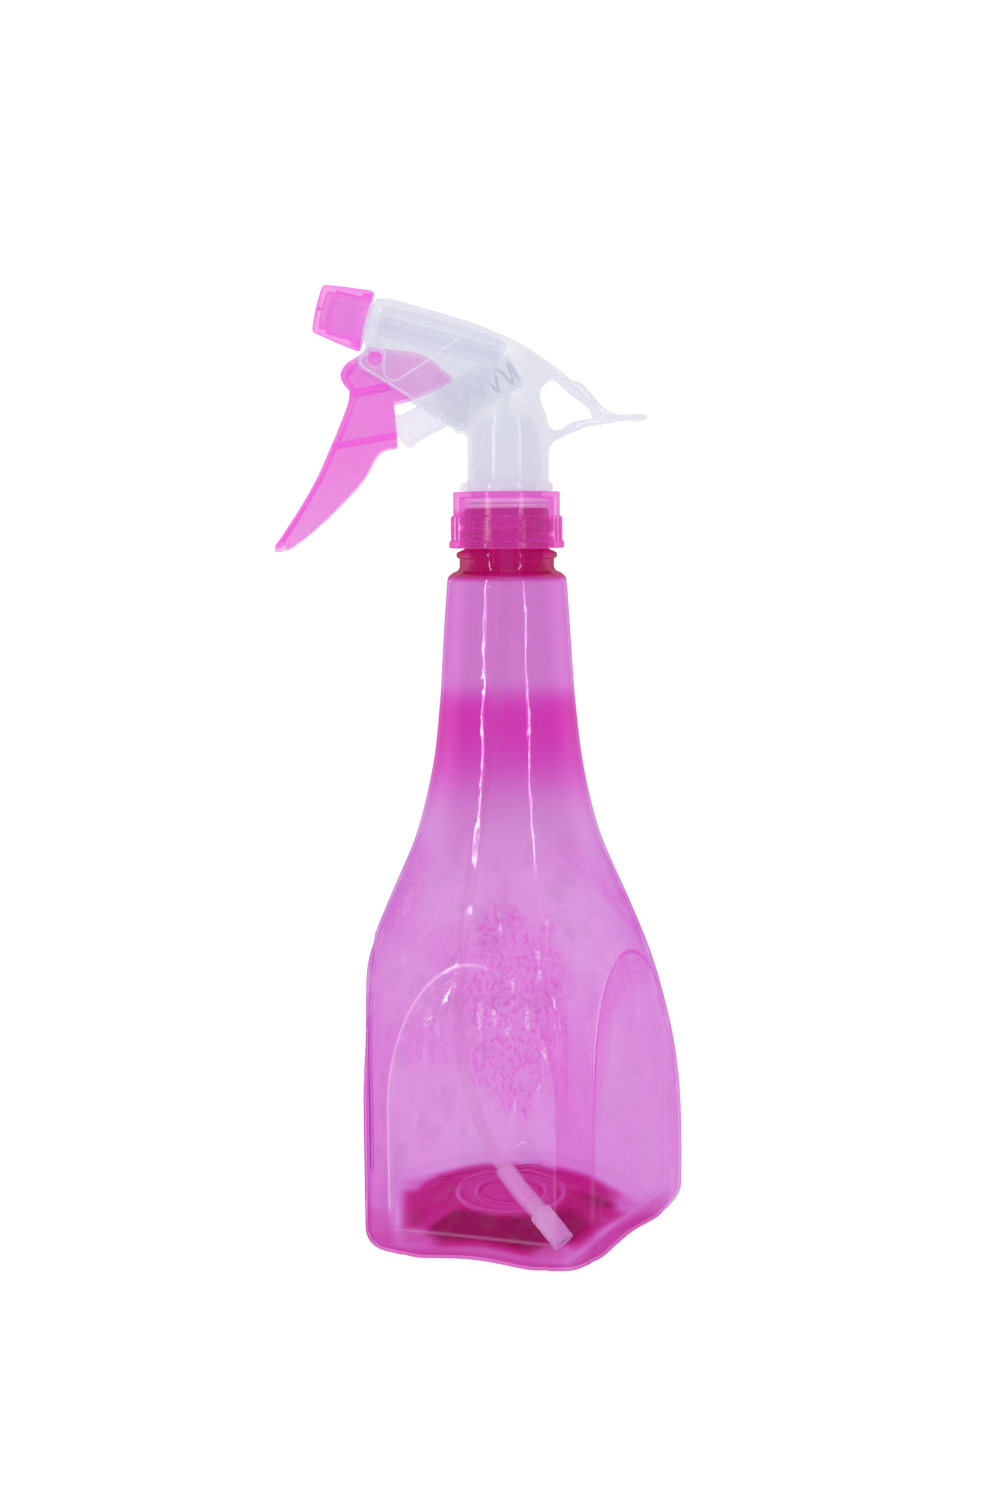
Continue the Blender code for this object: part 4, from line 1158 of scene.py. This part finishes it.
def clear_pink_material():
    """Thin blown plastic: clear, dyed, a little uneven, thicker at the neck, the heel and the
    base. Painted highlight and painted shade lines follow the panels' edges, painted shade
    darkens the floor's front, and drops cling to it in patches, with painted glints."""
    mat = Material("clear_pink_blown")
    place = mat.place()
    x, y, z = place.parts()
    radius = length(x, y)
    # off is the angle from the middle of the face, across and out the distances from there.
    sector = math.radians(SECTOR)
    turn = (y.math("ARCTAN2", x) / sector + 5.0).math("FRACT")
    off = (turn - 0.5) * sector
    across = abs(radius * off.math("SINE"))
    out = radius * off.math("COSINE")
    facing = mat.facing()
    # Painted highlights and painted shade lines, and the heel's dye, are dimmer on the far wall than
    # on the wall turned to the eye.
    eye_x, eye_y, _ = mat.value("NewGeometry", output="Incoming").parts()
    toward = (eye_x * x + eye_y * y) / radius.max(1.0)
    near = toward.ramp(-0.1, 0.2, low=0.12)
    # 1 on the outside of a standing wall, -1 on its inside, 0 on level ones.
    normal, behind = mat.links("NewGeometry", "True Normal", "Backfacing")
    normal_x, normal_y, _ = normal.parts()
    side_of = (normal_x * x + normal_y * y) / radius.max(1.0) * behind.line(-2.0, 1.0)

    # How far inside its panel's edge the point lies, and the painted highlight and painted shade
    # lines along that edge.
    up = (z - PANEL_SPRING_Z).max(0.0) / PANEL_RISE
    side = across / PANEL_HALF_WIDTH
    inside = (1.0 - length(up, side)) * PANEL_HALF_WIDTH
    on_wall = z.ramp(12.0, 18.0) * z.ramp(104.0, 92.0) * near
    slant = facing.ramp(0.18, 0.40)
    # Painted shade: a dark line just inside the panel's edge.
    edge_shade_line = inside.peak(0.1, 0.55) * on_wall * slant * z.ramp(78.0, 60.0, low=0.35)
    # Painted highlight: a pale line just outside the edge, strongest toward one side of the face.
    edge_highlight_line = (inside.peak(-0.4, 0.55) * on_wall * slant.line(-0.7, 1.0)
                  * off.ramp(0.22, -0.1, low=0.15))
    # Painted highlight: a fainter pale band further out from the edge.
    edge_pale_highlight = inside.peak(-1.5, 0.9) * on_wall * slant
    # Painted shade inside the arch, toward one side of the face.
    arch_shade = (inside.ramp(9.0, 1.0) * inside.ramp(-0.2, 0.6) * slant * off.ramp(0.1, -0.1)
            * z.ramp(40.0, 60.0) * on_wall)
    # Painted shade on the corner pillars, outside the panels.
    corner_shade = inside.ramp(0.0, -1.2) * z.ramp(84.0, 60.0) * z.ramp(6.0, 14.0) * near

    # Deeper dye: a band below the neck, then the thick neck, floor and heel. The floor also carries
    # painted light and shade rings, and painted shade darkens its front.
    cloud = place.noise(0.035, detail=2.0)
    band = z.ramp(123.0, 155.0) * z.ramp(157.0, 167.0, low=1.0, high=0.14) * cloud.line(0.28, 0.31)
    neck = z.ramp(196.8, 199.3)
    pocket = abs(off).ramp(0.34, 0.52) * radius.ramp(30.0, 35.0)
    on_floor = z.ramp(9.5, 7.5) * out.ramp(36.0, 30.5) * pocket.line(-0.8, 1.0)
    mottle = place.noise(0.12)
    floor = on_floor * (mottle.line(0.3, 0.92) + floor_ring_light_and_shade(radius)) * facing.line(-1.15, 1.62)
    heel = (z.ramp(12.0, 6.0) * out.ramp(35.0, 38.0) * across.ramp(31.0, 23.0, low=0.45)
            * 0.30 * near.line(1.1, -0.1))
    thick = (neck + floor + heel) * (facing * facing).line(neck * 0.5, 1.0)
    # Painted shade: the front of the floor is darkened where it is seen at a low slant.
    shade = (on_floor * facing.ramp(0.58, 0.38) * radius.ramp(16.0, 20.0)
             * out.ramp(33.0, 28.5) * mottle.line(0.6, 0.7))

    # The thin wall's dye, with specks in the patches of drops, plus the painted shade lines along
    # the panel edges, inside the arches and on the corner pillars.
    uneven = place.noise(0.05, detail=2.0, stretch=(1, 1, 0.35))
    patch = drop_patch(place, z)
    specks = place.noise(0.8, detail=2.0, rough=0.6, stretch=(1, 1, 0.7)).ramp(0.50, 0.62) * patch
    light = (band + uneven.line(0.12, -0.045) + specks * 0.22 + patch * 0.08
             + edge_shade_line * 0.9 + arch_shade * 0.13 + corner_shade * 0.13)
    # The way through the wall is longer at a slant, and the dye sits mostly in the outside.
    along = (facing ** 3.0).line(0.8, 1.0) * side_of.line(0.6, 1.0)
    tint = dyed(mat, along, (LIGHT_DYE, light), (THICK_DYE, thick), (SHADE_DYE, shade))

    ripple = place.noise(0.16, detail=2.0, stretch=(1, 1, 0.3))
    wobble = place.noise(0.55, detail=2.0, stretch=(1, 1, 0.55))
    bumps = wobble.line(0.16, ripple).bump(distance=0.35, strength=0.6)

    # Painted highlights: a pale coat on the raised panel edges, painted glints on the drops, and
    # pale lines on the heel, the floor's rim and the base ring.
    glint_streaks = place.noise(0.30, detail=1.0, stretch=(1, 1, 0.2)).ramp(0.63, 0.70)
    strays = z.ramp(30.0, 45.0) * z.ramp(118.0, 100.0) * 0.25
    glints = (glint_streaks * place.noise(1.5, detail=2.0, rough=0.6).ramp(0.42, 0.54)
              * patch.max(strays))
    # The painted highlights' colour: pale pink, and white at the glints.
    veil = mat.glow(glints.mix((0.99, 0.72, 0.97), (1.0, 0.96, 1.0)))
    painted_highlight = (edge_highlight_line * 0.42 + edge_pale_highlight * 0.05 + glints * near * 0.38
            + out.peak(36.4, 0.9) * z.ramp(9.0, 7.0) * near * 0.04
            + z.peak(9.5, 0.6) * out.ramp(37.0, 40.0) * across.ramp(26.0, 20.0) * near * 0.12
            + radius.peak(BASE_RING_R, 0.8) * on_floor * 0.10)
    clear = mat.blend(painted_highlight, mat.clear(tint), veil)

    # Reflections are broken up below the bell's slope.
    shine = mat.shine(0.055, bumps)
    blotches = place.noise(0.12, detail=2.0, rough=0.6, stretch=(1, 1, 0.7))
    broken = z.ramp(126.0, 112.0) * blotches.ramp(0.62, 0.54)
    fresnel = (facing ** 5.0).line(0.10, 0.045) * broken.line(-0.93, 1.0)
    surface = mat.blend(fresnel, clear, shine)
    return mat.done(mat.let_light_in(surface, amount=0.6, tint=(0.99, 0.97, 0.99)))


# ---------------------------------------------------------------- moulded materials

def plastic_material(name, tint, body, veil, rough, thick=None, thin=None, edge=0.55,
                     deep=None):
    """Moulded translucent plastic: a see-through part, a part that scatters, and a shine.
    tint is what one surface lets through, body the colour of the light it scatters, veil how
    much it scatters and edge how much more at its edge. thick and thin add to and take from
    the veil from place to place. deep is a second tint and where it applies."""
    mat = Material(name)
    place = mat.place()
    cloud = place.noise(0.09, detail=2.0)
    fine = place.noise(0.9, rough=0.6)
    facing = mat.facing()
    tone = cloud.line(1.4, -0.2, clamp=True).mix(
        tuple(0.95 * channel for channel in body),
        tuple(min(1.0, 1.04 * channel) for channel in body))
    normal = fine.line(0.2, cloud).bump(distance=0.06, strength=0.3)
    glow = mat.glow(tone, Roughness=0.5, Normal=normal)
    clear_tint = tint
    if deep:
        colour, zone = deep
        clear_tint = (facing.ramp(0.05, 0.75) * zone(place)).mix(tint, colour)
    amount = (facing ** 2.5).line(edge * (1 - veil), veil, clamp=True)
    amount = cloud.line(0.10, amount - 0.05, clamp=True)
    if thin:
        amount = amount * thin(place)
    if thick:
        amount = amount.max(thick(place))
    base = mat.blend(amount, mat.clear(clear_tint), glow)
    shine = mat.shine(fine.line(0.16, rough - 0.08), normal)
    surface = mat.blend((facing ** 5.0).line(0.12, 0.035), base, shine)
    pale = tuple(0.5 + 0.5 * channel for channel in tint)
    return mat.done(mat.let_light_in(surface, amount=0.8, tint=pale))


def solid_material(name, colour, rough, metallic=0.0, grain=0.8, bump=0.08, sheen=0.0,
                   brushed=None):
    """Opaque plastic, rubber or metal. grain is the scale of its fine texture, bump that
    texture's height, sheen its subsurface weight and brushed a stretch of the texture."""
    mat = Material(name)
    place = mat.place()
    cloud = place.noise(0.12)
    fine = place.noise(grain, detail=4.0, rough=0.65, stretch=brushed)
    tone = cloud.mix(tuple(0.88 * channel for channel in colour),
                     tuple(min(1.0, 1.08 * channel) for channel in colour))
    return mat.done(mat.value("BsdfPrincipled", {
        "Base Color": tone, "Roughness": fine.line(0.22, rough - 0.1), "Metallic": metallic,
        "Normal": fine.bump(distance=bump, strength=0.5), "Subsurface Weight": sheen,
        "Subsurface Radius": (0.002, 0.002, 0.002), "Subsurface Scale": 1.0}))


def near_line(place, start, end, reach):
    """1 on the segment from start to end in the XZ plane, 0 beyond reach."""
    run, rise = end[0] - start[0], end[1] - start[1]
    span = math.hypot(run, rise)
    run, rise = run / span, rise / span
    x, _, z = place.parts()
    x = x - start[0]
    z = z - start[1]
    along = x * run + z * rise
    across = abs(x * -rise - z * -run)
    past = (along - span).max(along * -1.0)
    return across.max(past).ramp(reach, 0.45 * reach)


def near_lines(place, points, reach):
    amount = near_line(place, points[0], points[1], reach)
    for start, end in zip(points[1:], points[2:]):
        amount = amount.max(near_line(place, start, end, reach))
    return amount


def trigger_thick(place):
    """Where the trigger's walls are seen end on, so more plastic is in the way."""
    ribs = near_line(place, *RIB_TOP, 0.95).max(near_line(place, *RIB_PUSH, 0.95))
    return ribs.max(near_lines(place, TRIGGER_FRONT, 1.35) * 0.75) * 0.9


def trigger_thin(place):
    """The blade gets thinner and paler toward its tip."""
    return place.parts()[2].ramp(208.0, 240.0, low=0.78)


def collar_thick(place):
    """The collar's top wall and bottom flange are seen end on."""
    z = place.parts()[2]
    return z.ramp(220.9, 221.5, high=0.5).max(z.ramp(208.8, 208.2, high=0.22))


def collar_skirt(place):
    """Below its top the collar is deeper in colour, from a line that leans a little in X."""
    x, _, z = place.parts()
    return x.line(0.07, z).ramp(217.4, 215.4)


def tube_thick(place):
    """The tube shows more where it nears the wall of the bottle."""
    return place.parts()[2].ramp(80.0, 40.0, high=0.24)


def plunger_thin(place):
    """The plunger's wall is thinner along the part that runs in the barrel."""
    run = near_line(place, point_on(PUMP_LINE, 2.0), point_on(PUMP_LINE, 19.0), 7.0)
    return run.line(-0.75, 1.0)


def housing_thick(place):
    """The shank, the spine and the back of the housing are solid or many-walled, so milkier."""
    x, _, z = place.parts()
    shank = z.ramp(258.0, 246.0) * x.ramp(-14.0, -10.5)
    back = x.ramp(-2.0, 9.0)
    spine = (x * 0.30 + z).ramp(265.5, 268.5)
    nose = x.ramp(-36.0, -38.0) * z.ramp(262.0, 266.0)
    barrel = near_line(place, point_on(PUMP_LINE, -5.0), point_on(PUMP_LINE, 19.0), 8.0)
    return (shank.max(back).max(spine.max(nose)) * 0.62).max(barrel * 0.36)


CLEAR_PINK = clear_pink_material()
MILKY = plastic_material(
    "milky_moulded", tint=(0.96, 0.965, 0.985), body=(0.815, 0.825, 0.895), veil=0.23,
    rough=0.15, thick=housing_thick, edge=0.25)
MILKY_LINE = plastic_material(
    "milky_edge", tint=(0.97, 0.97, 0.985), body=(0.93, 0.92, 0.96), veil=0.42, rough=0.2)
PINK = plastic_material(
    "pink_moulded", tint=(0.97, 0.93, 0.975), body=(0.92, 0.13, 0.78), veil=0.33, rough=0.22,
    thick=trigger_thick, thin=trigger_thin)
CAP_PINK = plastic_material(
    "pink_cap", tint=(0.99, 0.92, 0.975), body=(1.0, 0.14, 0.84), veil=0.40, rough=0.2,
    edge=0.7)
COLLAR_PINK = plastic_material(
    "pink_collar", tint=(0.97, 0.82, 0.95), body=(0.93, 0.11, 0.74), veil=0.19, rough=0.16,
    thick=collar_thick, edge=0.9, deep=((0.86, 0.30, 0.66), collar_skirt))
TUBE_MAT = plastic_material(
    "tube_soft", tint=(0.995, 0.975, 0.99), body=(1.0, 0.80, 0.96), veil=0.06, rough=0.18,
    thick=tube_thick, edge=0.22)
FILTER_MAT = plastic_material(
    "filter_plastic", tint=(0.98, 0.96, 0.98), body=(1.0, 0.93, 0.98), veil=0.45, rough=0.3)
WHITE = solid_material("white_plastic", colour=(0.84, 0.83, 0.88), rough=0.42, sheen=0.25)
PLUNGER = plastic_material(
    "plunger_plastic", tint=(0.97, 0.97, 0.985), body=(0.84, 0.85, 0.92), veil=0.34,
    rough=0.28, thin=plunger_thin)
SEAL = solid_material("seal_rubber", colour=(0.74, 0.72, 0.72), rough=0.7, grain=1.6, bump=0.05)
STEEL = solid_material("spring_steel", colour=(0.50, 0.49, 0.60), rough=0.34, metallic=0.6,
                       grain=1.5, bump=0.02, brushed=(1, 1, 6))


# ---------------------------------------------------------------- assembly

piece(build_bottle(), "bottle", CLEAR_PINK, "clear_pink", "bottle")
piece(build_collar(), "collar", COLLAR_PINK, "collar_pink", "collar", sharp=50)
piece(build_gasket(), "sprayer", SEAL, "seal", "neck_gasket")
piece(build_connector(), "sprayer", WHITE, "white", "shank_connector")
piece(build_housing(), "sprayer", MILKY, "milky", "sprayer_housing")
for side, hand in ((-1, "near"), (1, "far")):
    for label, line in (("cheek_step_", CHEEK_LINE), ("cheek_rim_", EDGE_LINE)):
        piece(cheek_line(label + hand, line, side), "sprayer", MILKY_LINE, "milky")
piece(build_trigger(), "trigger", PINK, "moulded_pink", "trigger")
piece(build_piston(), "piston", PLUNGER, "milky", "piston", sharp=50)
piece(build_piston_seal(), "piston", SEAL, "seal", "piston_seal")
piece(build_piston_wiper(), "piston", SEAL, "seal", "piston_wiper")
piece(build_valve(), "discharge_valve", WHITE, "white", "discharge_valve")
piece(build_spinner(), "sprayer", WHITE, "white", "spinner", sharp=40)
piece(build_nozzle_seal(), "nozzle_seal", SEAL, "seal", "nozzle_seal")
piece(build_nozzle_cap(), "nozzle_cap", CAP_PINK, "moulded_pink", "nozzle_cap", sharp=60)
piece(build_tube(), "sprayer", TUBE_MAT, "tube", "dip_tube")
piece(build_sleeve(), "sprayer", TUBE_MAT, "tube", "tube_sleeve")
piece(build_filter(), "sprayer", FILTER_MAT, "tube", "intake_filter", sharp=50)

# Each spring is built in place and rides on no body.
pump_spring = piece(build_pump_spring(), None, STEEL, "steel", "return_spring")
in_frame(point_on(PUMP_LINE, 17.0))
in_frame(point_on(PUMP_LINE, 0.0))
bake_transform(pump_spring)
outlet_spring = piece(build_outlet_spring(), None, STEEL, "steel", "discharge_spring")
in_frame(point_on(NOZZLE_LINE, 7.1))
in_frame(point_on(NOZZLE_LINE, 4.7))
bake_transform(outlet_spring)

for name, mat in (("intake_ball", STEEL), ("ball_stop", WHITE), ("filter_screen", STEEL)):
    node = frame["nodes"][name]
    node.data.materials.clear()
    node.data.materials.append(mat)


# ---------------------------------------------------------------- stage, in metres

FLOOR_RADIUS = 2.5
FLOOR_DROP = 0.0004


def floor_material():
    """White all round, softly shaded near the object, and dim in front of it in reflections."""
    mat = Material("studio_white")
    x, y, _ = mat.value("TexCoord", output="Object").parts()
    radius = length(x, y)
    diffuse = mat.value("BsdfDiffuse", {"Color": (0.3, 0.3, 0.3)})
    near = mat.value("AddShader", {0: diffuse, 1: mat.emit(0.80)})
    seen = mat.blend(radius.ramp(0.25, 0.7), near, mat.emit(1.05))
    dim = mat.emit(0.12)
    mirrored = mat.value("LightPath", output="Is Glossy Ray") * y.ramp(0.15, -0.1)
    return mat.done(mat.blend(mirrored, seen, dim))


def stage_disc():
    turns = [math.radians(5 * i) for i in range(72)]
    points = [(0, 0, 0)] + [(FLOOR_RADIUS * math.cos(turn), FLOOR_RADIUS * math.sin(turn), 0)
                            for turn in turns]
    faces = [(0, 1 + i, 1 + (i + 1) % 72) for i in range(72)]
    disc = make("studio_floor", points, faces)
    disc.location.z = -FLOOR_DROP
    disc.data.materials.append(floor_material())


def world_light():
    """White all around for the eye, softer as a light, and dim on the camera's side in
    reflections."""
    world = bpy.data.worlds.new("studio")
    bpy.context.scene.world = world
    world.use_nodes = True
    graph = Graph(world.node_tree)
    background = world.node_tree.nodes["Background"]
    graph.feed(background.inputs["Color"], (1, 1, 1))
    glossy, camera_ray = graph.links("LightPath", "Is Glossy Ray", "Is Camera Ray")
    y = graph.value("TexCoord", output="Generated").parts()[1]
    mirrored = y.ramp(-0.25, 0.55, low=0.07, high=0.95)
    light = glossy.ramp(0.0, 1.0, low=0.82, high=mirrored)
    graph.feed(background.inputs["Strength"], camera_ray.ramp(0.0, 1.0, low=light, high=1.05))


def area_light(name, azimuth, height, distance, width, tall, radiance):
    """A light that faces the object. Azimuth 0 is the camera's side, positive to its right."""
    data = bpy.data.lights.new(name, "AREA")
    data.shape = "RECTANGLE"
    data.size, data.size_y = width, tall
    data.energy = radiance * math.pi * width * tall
    obj = bpy.data.objects.new(name, data)
    bpy.context.scene.collection.objects.link(obj)
    angle = math.radians(azimuth)
    obj.location = (distance * math.sin(angle), -distance * math.cos(angle), height)
    toward = Vector((0, 0, min(height, 0.25))) - obj.location
    obj.rotation_euler = toward.to_track_quat("-Z", "Y").to_euler()


stage_disc()
world_light()
area_light("strip_left", azimuth=-45, height=0.45, distance=1.3, width=0.04, tall=1.5,
           radiance=18)
area_light("strip_right", azimuth=31, height=0.45, distance=1.3, width=0.035, tall=1.5,
           radiance=14)
area_light("soft_top", azimuth=10, height=1.6, distance=0.6, width=1.0, tall=1.0, radiance=0.6)

# The camera's place from the neck axis before the turn about it, and its angles in degrees
CAMERA_SPOT = (-0.0024, -0.511, 0.215)
CAMERA_TURN = -2.8
CAMERA_TILT = 82.3
CAMERA_ROLL = -0.38

camera = bpy.data.objects.new("camera", bpy.data.cameras.new("camera"))
bpy.context.scene.collection.objects.link(camera)
around = Matrix.Rotation(math.radians(CAMERA_TURN), 3, "Z")
camera.location = around @ Vector(CAMERA_SPOT) + Vector((AXIS_X * MM, 0, 0))
aim = (around @ Matrix.Rotation(math.radians(CAMERA_TILT), 3, "X")
       @ Matrix.Rotation(math.radians(CAMERA_ROLL), 3, "Z"))
camera.rotation_euler = aim.to_euler()
camera.data.lens = 40.8
camera.data.sensor_width = 36
camera.data.clip_start = 0.01
bpy.context.scene.camera = camera

bpy.context.scene.view_settings.view_transform = "Standard"
bpy.context.scene.cycles.transparent_max_bounces = 64
bpy.context.scene.cycles.max_bounces = 16
